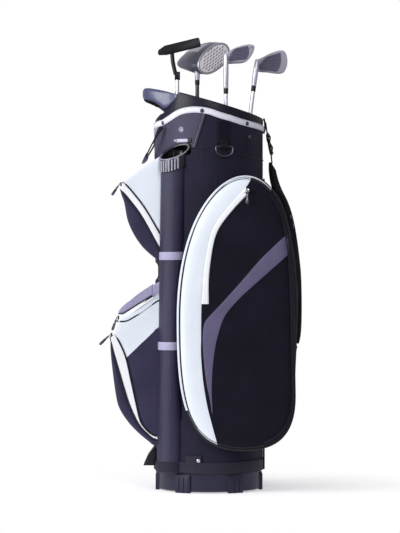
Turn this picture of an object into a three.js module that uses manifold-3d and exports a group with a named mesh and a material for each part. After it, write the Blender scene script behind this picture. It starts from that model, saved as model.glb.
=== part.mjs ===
// A golf cart bag with four clubs: a round bag body on a moulded base, an external putter tube,
// a moulded divider top with a lift handle, zipped pockets, straps, a driver, a putter and two irons.
// Millimetres. +Z is up, -Y is the bag's front (lift handle and ball pocket), +X is the putter tube side.
// The origin is the centre of the base's underside.
import * as THREE from "three";
import { mergeVertices } from "three/addons/utils/BufferGeometryUtils.js";
import Module from "manifold-3d";

const wasm = await Module();
wasm.setup();

// ---- Driving dimensions ----------------------------------------------------------------------

const GAP = 0.4; // between pieces that touch on the real bag
const AROUND = 44; // segments round the bag's body

const BODY = { r: 121, wall: 4, bottom: 43 };
const BASE = { r: 114.5, wall: 4, rim: 3, top: 42, floor: 9, flangeTop: 76 };
const LUG = { count: 6, firstAngle: 30, width: 36, out: 3.6, top: 39, rib: 1.4 };
const RIM = { z: 859, slope: 0.28 }; // height of the cuff's top edge at y = 0, and its fall per mm of y
const CUFF = { wall: 7, collarFoot: 780, frontWall: 91 };
const TRIM = { height: 13.4, inner: 121.6, outer: 124 };
const GRID = { r: 110, thick: 34, below: 12 };

const TUBE = {
  r: 31,
  wall: 2.4,
  foot: [77, -85, 44], // axis at the foot
  head: [83, -75, 774], // axis at the top
  recess: 32.2,
  top: 722, // where the mouth's inner sleeve takes over
};
const MOUTH = { r: 34, liner: 37, height: 27, middle: 749.5, slope: 0.54 };

const POCKET = { back: 62, seam: 150, front: 172, bulge: 14 };
const LID = { back: -126, half: 74 };

const GRIP = { r: 13, neck: 8.6, length: 262, floor: BASE.floor + GAP };
const SHAFT = { butt: 7.3, tip: 4.2, wall: 0.9, foot: 6.5 };
const FERRULE = { r: 5.3, bore: 4.7 };

// Each club stands on its grip: where its axis meets the bag's floor, how far its top leans back, and
// the height along the axis at which its head's hosel starts.
const CLUBS = {
  putter: { x: 8, y: -71, lean: 0, hosel: 906 },
  driver: { x: -24, y: -26.3, lean: 0, hosel: 908 },
  iron: { x: 23, y: 37.6, lean: 0, hosel: 886.5 },
  wedge: { x: -4, y: -9, lean: 7, hosel: 899 },
};

// ---- Materials -------------------------------------------------------------------------------

const paint = (color, roughness, metalness = 0) =>
  new THREE.MeshStandardMaterial({ color, roughness, metalness });

const MATERIAL = {
  blackFabric: paint(0x17161d, 0.85),
  charcoalFabric: paint(0x2a2935, 0.8),
  whiteFabric: paint(0xe3e8f0, 0.55),
  greyFabric: paint(0x615c7d, 0.6),
  trimTape: paint(0xe8e8f0, 0.5),
  mouldedPlastic: paint(0x33333f, 0.5),
  glossPlastic: paint(0x4c4c60, 0.28),
  chrome: paint(0xd8d8dc, 0.15, 1),
  brushedSteel: paint(0x9a98a2, 0.35, 1),
  gunmetal: paint(0x2c2c34, 0.4, 1),
  graphite: paint(0x26262e, 0.35, 0.2),
  gripRubber: paint(0x1c1c20, 0.9),
  webbing: paint(0x121218, 0.9),
  padding: paint(0x1b1a22, 0.9),
};

// ---- Solids ----------------------------------------------------------------------------------

const v3 = (x, y, z) => new THREE.Vector3(x, y, z);
const rad = (degrees) => (degrees * Math.PI) / 180;

// A closed solid from positions and triangles, turned the right way out.
function closed(vertProperties, triVerts) {
  const build = () => new wasm.Manifold(new wasm.Mesh({ numProp: 3, vertProperties, triVerts }));
  const made = build();
  if (made.volume() >= 0) return made;
  for (let i = 0; i < triVerts.length; i += 3) {
    [triVerts[i + 1], triVerts[i + 2]] = [triVerts[i + 2], triVerts[i + 1]];
  }
  return build();
}

function solid(geometry) {
  const bare = geometry.clone();
  for (const name of Object.keys(bare.attributes)) if (name !== "position") bare.deleteAttribute(name);
  const merged = mergeVertices(bare, 1e-4);
  return closed(merged.attributes.position.array, new Uint32Array(merged.index.array));
}

function geometryOf(made) {
  const { vertProperties, triVerts, numProp, numVert } = made.getMesh();
  const positions = new Float32Array(numVert * 3);
  for (let i = 0; i < numVert; i++) {
    positions.set(vertProperties.subarray(i * numProp, i * numProp + 3), i * 3);
  }
  const geometry = new THREE.BufferGeometry();
  geometry.setAttribute("position", new THREE.BufferAttribute(positions, 3));
  geometry.setIndex(new THREE.BufferAttribute(triVerts, 1));
  geometry.computeVertexNormals();
  return geometry;
}

// The same solid with each corner moved by a function.
function bend(made, change) {
  const geometry = geometryOf(made);
  const { position } = geometry.attributes;
  const point = v3(0, 0, 0);
  for (let i = 0; i < position.count; i++) {
    change(point.fromBufferAttribute(position, i));
    position.setXYZ(i, point.x, point.y, point.z);
  }
  return closed(position.array, geometry.index.array);
}

// The same solid turned by degrees about X, then Y, then Z, and moved.
function place(made, at, turn = [0, 0, 0]) {
  const euler = new THREE.Euler(...turn.map(rad), "ZYX");
  const matrix = new THREE.Matrix4().makeRotationFromEuler(euler).setPosition(...at);
  return bend(made, (point) => point.applyMatrix4(matrix));
}

const mirrored = (made) => bend(made, (point) => point.setX(-point.x));

// A solid through rings of points, with the rings joined end to end or capped.
function skin(rings, { loop = false } = {}) {
  const count = rings[0].length;
  const points = rings.flat();
  const faces = [];
  const spans = loop ? rings.length : rings.length - 1;
  for (let i = 0; i < spans; i++) {
    const next = (i + 1) % rings.length;
    for (let j = 0; j < count; j++) {
      const k = (j + 1) % count;
      const [a, b, c, d] = [i * count + j, i * count + k, next * count + j, next * count + k];
      faces.push(a, b, d, a, d, c);
    }
  }
  if (!loop) {
    for (const start of [0, (rings.length - 1) * count]) {
      const ring = points.slice(start, start + count);
      points.push(ring.reduce((sum, p) => sum.add(p), v3(0, 0, 0)).divideScalar(count));
      for (let j = 0; j < count; j++) {
        const edge = [start + j, start + ((j + 1) % count)];
        faces.push(points.length - 1, ...(start ? edge : edge.reverse()));
      }
    }
  }
  const geometry = new THREE.BufferGeometry().setFromPoints(points);
  geometry.setIndex(faces);
  return solid(geometry);
}

const outline = (points) => new THREE.Shape(points.map(([a, b]) => new THREE.Vector2(a, b)));

// An outline in (x, y), extruded from z0 to z1.
function slab(points, z0, z1) {
  const geometry = new THREE.ExtrudeGeometry(outline(points), { depth: z1 - z0, bevelEnabled: false });
  return solid(geometry.translate(0, 0, z0));
}

// An outline in (y, z), extruded from x0 to x1, with its edges rounded by bevel.
function side(points, x0, x1, bevel = 0) {
  const geometry = new THREE.ExtrudeGeometry(outline(points), {
    depth: x1 - x0 - 2 * bevel,
    bevelEnabled: bevel > 0,
    bevelThickness: bevel,
    bevelSize: bevel,
    bevelOffset: -bevel,
    bevelSegments: 2,
  });
  const turn = new THREE.Matrix4().makeBasis(v3(0, 1, 0), v3(0, 0, 1), v3(1, 0, 0));
  return solid(geometry.applyMatrix4(turn).translate(x0 + bevel, 0, 0));
}

// A profile of [radius, height] points turned about Z.
function turned(profile, segments = 24) {
  const points = profile.map(([r, z]) => new THREE.Vector2(r, z));
  return solid(new THREE.LatheGeometry(points, segments).rotateX(Math.PI / 2));
}

const rod = (r, z0, z1, segments = 24) => turned([[0, z0], [r, z0], [r, z1], [0, z1]], segments);
const block = (x0, x1, y0, y1, z0, z1) => slab([[x0, y0], [x1, y0], [x1, y1], [x0, y1]], z0, z1);

// A wall between two radii, whose bottom and top heights may follow the place round the axis.
function wall(rIn, rOut, low, high, { from = 0, to = 360, segments = AROUND } = {}) {
  const full = to - from === 360;
  const steps = full ? segments : segments + 1;
  const sections = Array.from({ length: steps }, (_, i) => {
    const angle = rad(from + ((to - from) * i) / segments);
    const at = (r, height) => {
      const [x, y] = [r * Math.cos(angle), r * Math.sin(angle)];
      return v3(x, y, typeof height === "function" ? height(x, y) : height);
    };
    return [at(rIn, low), at(rOut, low), at(rOut, high), at(rIn, high)];
  });
  return skin(sections, { loop: full });
}

// A round bar along a list of points.
function bar(points, r, { sides = 8, steps = points.length * 2 } = {}) {
  const path = new THREE.CatmullRomCurve3(points, false, "centripetal");
  const { normals, binormals } = path.computeFrenetFrames(steps, false);
  const rings = Array.from({ length: steps + 1 }, (_, i) =>
    Array.from({ length: sides }, (__, j) => {
      const angle = (2 * Math.PI * j) / sides;
      return path
        .getPointAt(i / steps)
        .addScaledVector(normals[i], r * Math.cos(angle))
        .addScaledVector(binormals[i], r * Math.sin(angle));
    }),
  );
  return skin(rings);
}

// The outline of a strip of even thickness along a curve through points in (y, z).
function strip(line, thickness, steps = line.length * 2) {
  const curve = new THREE.SplineCurve(line.map(([a, b]) => new THREE.Vector2(a, b)));
  const edge = (reach) =>
    Array.from({ length: steps + 1 }, (_, i) => {
      const at = curve.getPoint(i / steps);
      const along = curve.getTangent(i / steps);
      return [at.x - along.y * reach, at.y + along.x * reach];
    });
  return [...edge(thickness / 2), ...edge(-thickness / 2).reverse()];
}

const all = (...solids) => solids.reduce((sum, next) => sum.add(next));

const bag = new THREE.Group();

function part(name, material, made, parent = bag) {
  const mesh = new THREE.Mesh(geometryOf(made), MATERIAL[material]);
  mesh.name = name;
  parent.add(mesh);
}

// ---- Heights that follow the place round the bag ------------------------------------------------

const rimHeight = (y, below = 0) => RIM.z - RIM.slope * y - below;

// The trim band rises over each side of the bag: [turn, height], where turn is 0 at the front, 90 at a
// side and 180 at the back.
const TRIM_LINE = [[0, 811.5], [33, 816], [45, 825], [58, 837], [70, 841.5], [81, 841], [91, 837],
  [101, 829.5], [112, 823.5], [124, 816.5], [138, 811.5], [158, 807], [180, 804]];
const TRIM_CURVE = new THREE.SplineCurve(TRIM_LINE.map(([turn, z]) => new THREE.Vector2(turn, z)));
const TRIM_POINTS = TRIM_CURVE.getPoints(TRIM_LINE.length * 4);

function trimHeight(x, y) {
  const turn = (Math.atan2(Math.abs(x), -y) * 180) / Math.PI;
  const found = TRIM_POINTS.findIndex((p) => p.x >= turn);
  const i = found < 1 ? 1 : found;
  const [a, b] = [TRIM_POINTS[i - 1], TRIM_POINTS[i]];
  return a.y + ((b.y - a.y) * (turn - a.x)) / (b.x - a.x);
}

// The putter tube leans a little, so its pieces are upright solids sheared along its axis.
const TUBE_LEAN = [0, 1].map((i) => (TUBE.head[i] - TUBE.foot[i]) / (TUBE.head[2] - TUBE.foot[2]));

function leanWithTube(made) {
  return bend(made, (p) => {
    const rise = p.z - TUBE.foot[2];
    p.x += TUBE.foot[0] + TUBE_LEAN[0] * rise;
    p.y += TUBE.foot[1] + TUBE_LEAN[1] * rise;
  });
}

const bodyCore = rod(BODY.r + GAP, 0, 900, AROUND);

// The tube's mouth is cut on a plane that leans outwards from the bag.
const OUTWARD = new THREE.Vector2(TUBE.head[0], TUBE.head[1]).normalize();
const mouthHeight = (x, y) => MOUTH.middle - MOUTH.slope * (x * OUTWARD.x + y * OUTWARD.y);

const tubeRod = (r, z0, z1) => leanWithTube(rod(r, z0, z1, 32));

// A rod on the tube's axis with one end cut on the mouth's plane and the other level at z.
function mouthRod(r, z, rise = 0) {
  const foot = z < MOUTH.middle ? 0 : 1;
  const ends = (p) => p.setZ(Math.round(p.z) === foot ? z : mouthHeight(p.x, p.y) + rise);
  return leanWithTube(bend(rod(r, 0, 1, 32), ends));
}

// The mouth as seen from the bag's side, run along X through the body's wall.
function mouthEye(r, x0, x1) {
  const points = Array.from({ length: 24 }, (_, i) => {
    const [c, s] = [Math.cos((i * Math.PI) / 12), Math.sin((i * Math.PI) / 12)];
    return [TUBE.head[1] + r * s, mouthHeight(r * c, r * s)];
  });
  return side(points, x0, x1);
}

// ---- Base and body ---------------------------------------------------------------------------

function buildBase() {
  const { r, wall: w, rim, top, floor, flangeTop } = BASE;
  const inner = BODY.r - BODY.wall - GAP;
  const cup = turned(
    [[0, 0], [42, 0], [44, rim], [r - 2, rim], [r, rim + 2], [r, top], [inner, top], [inner, flangeTop],
     [inner - 3, flangeTop], [inner - 3, top - 4], [r - w, floor], [0, floor]],
    AROUND,
  );
  const half = LUG.width / 2;
  const ribs = [-12, 0, 12].map((y) => block(r + LUG.out - 1, r + LUG.out + LUG.rib, y - 3, y + 3, 0, LUG.top - 4));
  const lug = all(block(r - w, r + LUG.out, -half, half, 0, LUG.top), ...ribs);
  const lugs = Array.from({ length: LUG.count }, (_, i) =>
    place(lug, [0, 0, 0], [0, 0, LUG.firstAngle + (i * 360) / LUG.count]),
  );
  const tubeRoom = tubeRod(MOUTH.liner + GAP, top + 0.5, flangeTop + 10);
  part("base", "mouldedPlastic", all(cup, ...lugs).subtract(tubeRoom));
}

const splitHeight = (x, y) => trimHeight(x, y) - 1;

function buildBody() {
  const shell = wall(BODY.r - BODY.wall, BODY.r, BODY.bottom, splitHeight);
  const liner = mouthRod(MOUTH.liner, BODY.bottom, 3)
    .intersect(rod(BODY.r - 1, 20, 900, AROUND))
    .subtract(rod(BODY.r - BODY.wall - 3, 0, BASE.flangeTop + 2, AROUND));
  const recess = all(tubeRod(TUBE.recess, 20, TUBE.top), mouthRod(MOUTH.r + GAP, TUBE.top - 1, 1));
  const eye = mouthEye(MOUTH.r + GAP, TUBE.head[0] - 35, BODY.r + 20).intersect(mouthRod(80, 900, -1.5));
  part("body_shell", "charcoalFabric", all(shell, liner).subtract(recess).subtract(eye));

  const hem = wall(BODY.r + GAP, BODY.r + 2.4, BODY.bottom + 1, 68);
  const collar = tubeRod(TUBE.r + 2.6, BODY.bottom + 3, 70);
  const tubeSpace = tubeRod(TUBE.r + GAP, 20, 200);
  part("hem_band", "blackFabric", all(hem, collar).subtract(bodyCore).subtract(tubeSpace));

  const spine = { from: 79.5, to: 100.5, segments: 6 };
  part("spine_strip", "webbing", wall(BODY.r + 2.8, BODY.r + 5.4, 46, 700, spine));
}

// ---- Cuff, handle, trim and dividers -----------------------------------------------------------

// The hollow under the handle: the cuff's front drops back from the body to an upright front wall.
const SCOOP = [[-122, 820], [-117, 827.5], [-108, 835.5], [-98.5, 842], [-94, 848], [-CUFF.frontWall, 858]];
// Where the gloss handle takes over from the cuff, from the rim down and forward.
const HANDLE_BACK = [[-71, 940], [-71, 872], [-87, 850], [-100, 836]];

function buildCuff() {
  const low = (x, y) => splitHeight(x, y) + GAP;
  const ring = wall(BODY.r - CUFF.wall, BODY.r, low, (x, y) => rimHeight(y));
  const inside = [BODY.r - CUFF.wall - 1, BODY.r - BODY.wall - GAP];
  const collar = wall(...inside, CUFF.collarFoot, (x, y) => splitHeight(x, y) + 3);
  const hollow = side([...SCOOP, [-CUFF.frontWall, 940], [-140, 940], [-140, 820]], -130, 130);
  const behind = SCOOP.map(([y, z]) => [y + 4, z - 3.5]).reverse();
  const front = side([...SCOOP, [-CUFF.frontWall, 930], [-CUFF.frontWall + 4, 930], ...behind], -110, 110);
  const frontWall = front.intersect(rod(BODY.r, 700, 1000, AROUND));
  const aboveRim = side([[-200, rimHeight(-200)], [200, rimHeight(200)], [200, 1000], [-200, 1000]], -200, 200);
  const handleRoom = side([...HANDLE_BACK, [-200, 836], [-200, 940]], 0, 200);
  const cheeks = wall(BODY.r - CUFF.wall - 4, BODY.r + 10, 790, 1000).intersect(
    all(handleRoom, mirrored(handleRoom)),
  );
  const made = all(ring.subtract(hollow), collar, frontWall).subtract(aboveRim).subtract(cheeks);
  part("cuff", "mouldedPlastic", made);
}

// Half of the handle loop seen from above, from where it meets the cuff to the middle of its tip.
const LOOP_OUTER = [[98, -71], [84, -87.5], [73, -104], [61, -122], [47, -138], [31, -146.5], [0, -149]];
const LOOP_INNER = [[0, -132], [26, -130], [40, -122], [52, -108], [63, -95], [74.5, -86], [88.5, -71]];
// The handle's side profile in (y, z).
const HANDLE_SIDE = [[-72, 878], [-98, 886.5], [-126, 893], [-143, 896], [-149.5, 891], [-149.5, 878],
  [-146, 873.5], [-137, 868.5], [-120, 862], [-107, 853.5], [-98, 846], [-88, 851], [-72, 872]];

function buildHandle() {
  const half = (points) => points.map(([x, y]) => [-x, y]).reverse();
  const seenFromAbove = [...LOOP_OUTER, ...half(LOOP_OUTER).slice(1), ...half(LOOP_INNER), ...LOOP_INNER.slice(1)];
  const loop = slab(seenFromAbove, 820, 940).intersect(side(HANDLE_SIDE, -140, 140));
  const cuffFront = all(
    block(-200, 200, -CUFF.frontWall - GAP, -40, 700, 1000).subtract(wall(113, 140, 600, 1100)),
    side([[-130, 800], ...SCOOP.map(([y, z]) => [y, z + GAP]), [-CUFF.frontWall, 800]], -60, 60),
  );
  part("cuff_handle", "glossPlastic", loop.subtract(cuffFront));
}

function buildTrim() {
  const edge = (reach) => (x, y) => trimHeight(x, y) + reach;
  part("trim_band", "trimTape", wall(TRIM.inner, TRIM.outer, edge(-TRIM.height / 2), edge(TRIM.height / 2)));
}

// Rows of club slots, front to back: [y from, y to, [x from, x to] of each slot].
const SLOT_ROWS = [
  [-85, -50, [[-66, -30], [-26, 26]]],
  [-46, -6, [[-90, -48], [-44, -2], [2, 44], [48, 90]]],
  [-2, 54, [[-90, -48], [-44, -2], [2, 44], [48, 90]]],
  [58, 106, [[-78, -30], [-26, 26], [30, 78]]],
];

function buildDividers() {
  const { r, thick, below } = GRID;
  const slots = SLOT_ROWS.flatMap(([y0, y1, columns]) => columns.map(([x0, x1]) => block(x0, x1, y0, y1, -9, 99)));
  const plate = rod(r, 0, thick, AROUND).intersect(block(-r, r, GAP - CUFF.frontWall + 4, r, -9, 99));
  const grid = plate.subtract(all(...slots).intersect(rod(r - 3, -9, 99, AROUND)));
  part("divider_grid", "padding", bend(grid, (p) => p.setZ(p.z + rimHeight(p.y, below) - thick)));

  const top = (y) => rimHeight(y, below) - thick - 2;
  part("divider_sheet_front", "webbing", block(-98, 42, -48.8, -47.2, 24, top(-47)));
  part("divider_sheet_middle", "webbing", block(-112, 112, -4.8, -3.2, 330, top(-3)));
}

// ---- Putter tube -----------------------------------------------------------------------------

function buildTube() {
  const { r, wall: w, foot, top } = TUBE;
  const tube = turned([[0, foot[2]], [r, foot[2]], [r, top], [r - w, top], [r - w, foot[2] + 5], [0, foot[2] + 5]], 32);
  part("putter_tube", "charcoalFabric", leanWithTube(tube));

  const round = { segments: 32 };
  const collar = wall(r + GAP, MOUTH.r, (x, y) => mouthHeight(x, y) - MOUTH.height, mouthHeight, round);
  const sleeve = wall(r - w, MOUTH.r - 1, top + GAP, mouthHeight, round);
  const wrap = mouthEye(MOUTH.r, TUBE.head[0] - MOUTH.r, BODY.r + 9).subtract(mouthEye(r - w, 0, BODY.r + 40));
  const lining = wrap
    .intersect(mouthRod(80, 900, -1))
    .intersect(rod(BODY.r + 1.8, 600, 900, AROUND))
    .intersect(all(tubeRod(MOUTH.r, 600, 900), block(TUBE.head[0], 160, -140, -20, 600, 900)));
  const bagSide = bodyCore.subtract(all(tubeRod(TUBE.recess - 0.3, 0, TUBE.top), tubeRod(MOUTH.r, TUBE.top - 1, 900)));
  const mouth = leanWithTube(all(collar, sleeve)).subtract(bagSide);
  part("putter_mouth", "glossPlastic", all(mouth, lining).subtract(mouthRod(r - w, 600, 1)));

  const band = (z) => leanWithTube(wall(r + 0.25, r + 0.85, z - 9, z + 9, round));
  part("tube_band_upper", "greyFabric", band(521));
  part("tube_band_lower", "greyFabric", band(323));
}

// ---- Badges, plate, snaps and towel ring --------------------------------------------------------

// A solid built along +X, turned to face out of the bag's side where that is y from the middle.
const faceOut = (made, y, r = BODY.r) => place(made, [0, 0, 0], [0, 0, (Math.asin(y / r) * 180) / Math.PI]);
const button = (radius, from, to, z) => place(rod(radius, from, to, 16), [0, 0, z], [0, 90, 0]);

function buildFittings() {
  part("front_badge", "chrome", faceOut(button(6, BODY.r + 0.6, BODY.r + 2.6, 799), -60.8));
  const span = { from: -40, to: -21.5, segments: 6 };
  part("name_plate", "chrome", wall(BODY.r + GAP, BODY.r + 2.2, 770, 778.5, span));
  const places = { front: [-102, 815], middle: [-15.8, 839], rear: [83.3, 812.5] };
  for (const [name, [y, z]] of Object.entries(places)) {
    const snap = button(4.2, TRIM.outer + 0.5, TRIM.outer + 2.4, z);
    part(`hood_snap_${name}`, "gunmetal", faceOut(snap, y, TRIM.outer));
  }
}

const TOWEL = { y: 33.4, r: 128.5, z: 760, half: 19, drop: 21, wire: 2.1 };

function buildTowelRing() {
  const { r, z, half, drop, wire, y } = TOWEL;
  const pin = (radius, reach) => place(rod(radius, -reach, reach, 12), [r, 0, z], [90, 0, 0]);
  const tab = all(
    wall(BODY.r + GAP, BODY.r + 2.4, 764, 811, { from: -2.6, to: 13.3, segments: 4 }),
    wall(BODY.r + GAP, r - 3, 757, 768, { from: -5, to: 5, segments: 4 }),
    pin(5.6, 11),
  );
  part("towel_tab", "webbing", faceOut(tab.subtract(pin(3.4, 30)), y, r));
  const bow = Array.from({ length: 9 }, (_, i) => {
    const angle = Math.PI + (Math.PI * i) / 8;
    return v3(r, half * Math.cos(angle), z - 7 + drop * 0.65 * Math.sin(angle));
  });
  const ring = all(bar([v3(r, -half, z), ...bow, v3(r, half, z)], wire), pin(wire, half));
  part("towel_ring", "gunmetal", faceOut(ring, y, r));
}

// ---- Side pockets ----------------------------------------------------------------------------

// The seam of a side pocket's front panel in (y, z): pointed over the top, full and round at the foot.
function pocketSeam(count = 44) {
  const path = new THREE.CurvePath();
  const curve = (...points) => path.add(new THREE.CubicBezierCurve(...points.map(([a, b]) => new THREE.Vector2(a, b))));
  curve([78, 693], [18, 693], [-67, 594], [-67, 384]);
  curve([-67, 384], [-67, 199], [-48, 101], [72, 100]);
  curve([72, 100], [150, 100], [187, 134], [185, 224]);
  curve([185, 224], [182, 384], [184, 544], [160, 616]);
  curve([160, 616], [142, 666], [112, 693], [78, 693]);
  return path.getSpacedPoints(count).slice(0, count);
}

const POCKET_MIDDLE = new THREE.Vector2(62, 384);

function buildSidePocket(prefix, finish) {
  const { back, seam, front, bulge } = POCKET;
  const line = pocketSeam();
  const ring = (x, out) =>
    line.map((p) => {
      const away = p.clone().sub(POCKET_MIDDLE).normalize();
      const share = Math.max(0, away.x) + 0.25 * Math.abs(away.y);
      return v3(x, p.x + away.x * out * share, p.y + away.y * out * share);
    });
  const gusset = skin([
    ring(back, -14), ring(back + 12, 0), ring((back + seam) / 2, bulge), ring(seam - 12, bulge * 0.55), ring(seam, 0),
  ]);
  const tubeRoom = all(tubeRod(TUBE.r + 1.4, 40, 900), tubeRod(MOUTH.r + 1, 700, 900));
  part(`${prefix}_pocket`, "blackFabric", finish(gusset.subtract(bodyCore).subtract(tubeRoom)));

  const dome = (x, share) =>
    line.map((p) => {
      const at = p.clone().sub(POCKET_MIDDLE).multiplyScalar(share).add(POCKET_MIDDLE);
      return v3(x, at.x, at.y);
    });
  const panel = skin([dome(seam + GAP, 1), dome(seam + 7, 1), dome(front - 7, 0.975), dome(front - 2, 0.945),
    dome(front, 0.905)]);
  part(`${prefix}_pocket_panel`, "whiteFabric", finish(panel));
}

// ---- Zips ------------------------------------------------------------------------------------

// A zip pull: a flat tab hanging from its eye, turned about Z to face out and swung out by degrees.
function buildPull(name, material, eye, turn, swing, length) {
  const [narrow, wide] = [1.6, 2.7];
  const tab = side([[-narrow, 2], [narrow, 2], [wide, -8], [wide, -length], [-wide, -length], [-wide, -8]], -1, 1);
  part(name, material, place(tab, eye, [0, -swing, turn]));
}

// The inner zip's slider runs down the side pocket's panel on an arc; this is its place at the top.
const INNER_ZIP_TOP = [POCKET.front + 2.6, 82, 662];
const INNER_ZIP_LEAN = 47; // degrees from upright

function buildZips() {
  const [x, y, z] = INNER_ZIP_TOP;
  const slider = side([[-4, 6], [4, 6], [5, 2], [3.4, -6], [-3.4, -6], [-5, 2]], -2.2, 2.4);
  part("inner_zip_slider", "chrome", place(slider, INNER_ZIP_TOP, [-INNER_ZIP_LEAN, 0, 0]));
  buildPull("inner_zip_pull", "chrome", [x + 4.2, y, z - 4], 0, 4, 26);
  buildPull("right_zip_pull", "gunmetal", [108, 183, 607], 90, 4, 26);
  buildPull("left_zip_pull", "gunmetal", [-108, 183, 607], 90, 4, 26);
  buildPull("upper_zip_pull", "chrome", [50, -199, 681], -90, 34, 30);
  buildPull("lid_zip_pull", "chrome", [56, -204.5, 385], -90, 20, 30);
  buildPull("ball_zip_pull", "chrome", [62, -219.5, 347], -90, 46, 32);
}

// ---- Front pockets ---------------------------------------------------------------------------

const UPPER_SIDE = [[-60, 742], [-108, 741], [-143, 720], [-188.5, 685.5], [-195.5, 674], [-196, 665], [-187, 641],
  [-179.5, 603], [-166, 572], [-145, 542], [-114, 515.5], [-60, 513]];
const BALL_SIDE = [[-60, 464], [-125, 462], [-125.5, 430], [-194, 387.5], [-201.5, 378], [-214, 342], [-217.5, 314],
  [-213, 274], [-205, 215], [-198, 187], [-182, 160], [-160, 135], [-132, 111], [-118, 102], [-60, 102]];
const LID_SIDE = [[LID.back, 463], [-160, 437], [-189, 412], [-199, 402], [-199.5, 394], [-194.5, 390],
  [LID.back, 432]];

function buildFrontPockets() {
  const tubeRoom = all(tubeRod(TUBE.r + 1.4, 20, 900), tubeRod(MOUTH.r + 1, 700, 900));
  const clear = (made) => made.subtract(bodyCore).subtract(tubeRoom);
  part("upper_pocket", "whiteFabric", clear(side(UPPER_SIDE, -72, 72, 8)));
  part("ball_pocket", "blackFabric", clear(side(BALL_SIDE, -82, 82, 8)));
  part("cooler_lid", "greyFabric", side(LID_SIDE, -LID.half, LID.half, 4));
}

// ---- Handles and straps ----------------------------------------------------------------------

// The front strap hangs between the bag's sides in a deep curve; share runs from 0 to 1 along it.
function hang(share) {
  const swing = Math.sin(share * Math.PI);
  return v3(80 * Math.cos(share * Math.PI), -99 - 44 * swing ** 0.8, 812 - 74 * swing ** 0.9);
}

function ribbon(from, to, width, thick, steps) {
  const rings = Array.from({ length: steps + 1 }, (_, i) => {
    const share = from + ((to - from) * i) / steps;
    const along = hang(share + 0.01).sub(hang(share - 0.01)).normalize();
    const across = v3(0, 0.45, 0.9);
    across.addScaledVector(along, -across.dot(along)).normalize();
    const out = along.clone().cross(across);
    return [[-1, -1], [1, -1], [1, 1], [-1, 1]].map(([a, b]) =>
      hang(share).addScaledVector(across, (a * width) / 2).addScaledVector(out, (b * thick) / 2),
    );
  });
  return skin(rings);
}

function buildGrabHandles() {
  const shell = side([[-110, 98], [-124, 94], [-137, 76], [-146, 56], [-110, 56]], -44, 44);
  const room = side([[-100, 88], [-121, 88], [-131.5, 73], [-138.5, 55], [-100, 55]], -38, 38);
  part("foot_grab", "gunmetal", shell.subtract(room).subtract(rod(BODY.r + 3, 0, 400, AROUND)));

  part("grab_strap", "webbing", ribbon(0.02, 0.98, 7, 2, 14));
  part("grab_strap_grip", "greyFabric", ribbon(0.38, 0.62, 20, 9, 4).subtract(ribbon(0.3, 0.7, 8, 3, 8)));
}

const STRAP = { pad: 30, webbing: 13, padThick: 11, webThick: 2.6 };
const TOP_WEB = [[126.8, 820], [130, 798], [135.5, 766], [139, 748], [140.5, 738]];
const PAD_LINE = [[141, 735], [144, 712], [150, 687], [159, 664], [171, 640], [181, 610], [188.5, 574], [195, 529],
  [200, 479], [201.5, 424], [201, 369], [197.5, 322]];
const LOW_WEB = [[196.8, 319.5], [190, 302], [172, 287], [148, 280], [131, 275], [129, 256]];

function buildShoulderStrap() {
  const { pad, webbing, padThick, webThick } = STRAP;
  part("strap_webbing", "webbing", side(strip(TOP_WEB, webThick), -webbing, webbing));
  part("shoulder_pad", "padding", side(strip(PAD_LINE, padThick), -pad, pad, 2.5));
  part("strap_lower_webbing", "webbing", side(strip(LOW_WEB, webThick), -webbing, webbing));
  const frame = side([[-6, 14], [6, 14], [6, -14], [-6, -14]], -18, 18);
  const slot = side([[-2.4, 30], [2.4, 30], [2.4, -30], [-2.4, -30]], -14.5, 14.5);
  part("strap_adjuster", "mouldedPlastic", place(frame.subtract(slot), [0, 136.8, 763], [10, 0, 0]));
}

// ---- Clubs -----------------------------------------------------------------------------------

function clubGroup({ x, y, lean }) {
  const group = new THREE.Group();
  const lift = GRIP.r * Math.sin(rad(lean)); // a leaning grip stands on its edge
  group.position.set(x, y, GRIP.floor + lift);
  group.rotation.x = -rad(lean);
  bag.add(group);
  return group;
}

function buildShaft(name, group, length, material, ferrule, gripR = GRIP.r) {
  const { neck, length: gripTop } = GRIP;
  const { butt, tip, wall: w, foot } = SHAFT;
  const bore = butt + 0.25;
  const grip = turned(
    [[0, 0], [gripR - 1.5, 0], [gripR, 3], [gripR, 14], [neck + 0.3, gripTop - 20], [neck, gripTop],
     [bore, gripTop], [bore, foot - GAP], [0, foot - GAP]],
    14,
  );
  part(`${name}_grip`, "gripRubber", grip, group);
  const knee = gripTop + 30;
  const tube = [[butt, foot], [butt, knee], [tip, length], [tip - w, length], [butt - w, knee], [butt - w, foot]];
  part(`${name}_shaft`, material, turned([...tube, tube[0]], 12), group);
  if (!ferrule) return;
  const { r, bore: hole } = FERRULE;
  const [low, high] = [length - ferrule, length - GAP];
  const cone = [[hole, low], [hole + 0.3, low], [r, low + ferrule / 2], [r, high], [hole, high]];
  part(`${name}_ferrule`, "gunmetal", turned([...cone, cone[0]], 14), group);
}

const shaftBore = rod(SHAFT.tip + 0.3, -60, 18, 12);

// The driver's head stands upside down. In its own frame +X is the toe, -Y the face and +Z the sole,
// from [y, middle x, width, height, middle z] of each section from the face to the tail.
const DRIVER = {
  lie: 32,
  turn: 130,
  sections: [[-17, 57, 92, 46, 23], [-13, 57, 102, 54, 23], [6, 57, 107, 54, 26], [32, 58, 105, 43, 31],
    [58, 59, 93, 31, 33], [78, 60, 68, 20, 31], [89, 60, 36, 9, 29]],
};

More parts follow.
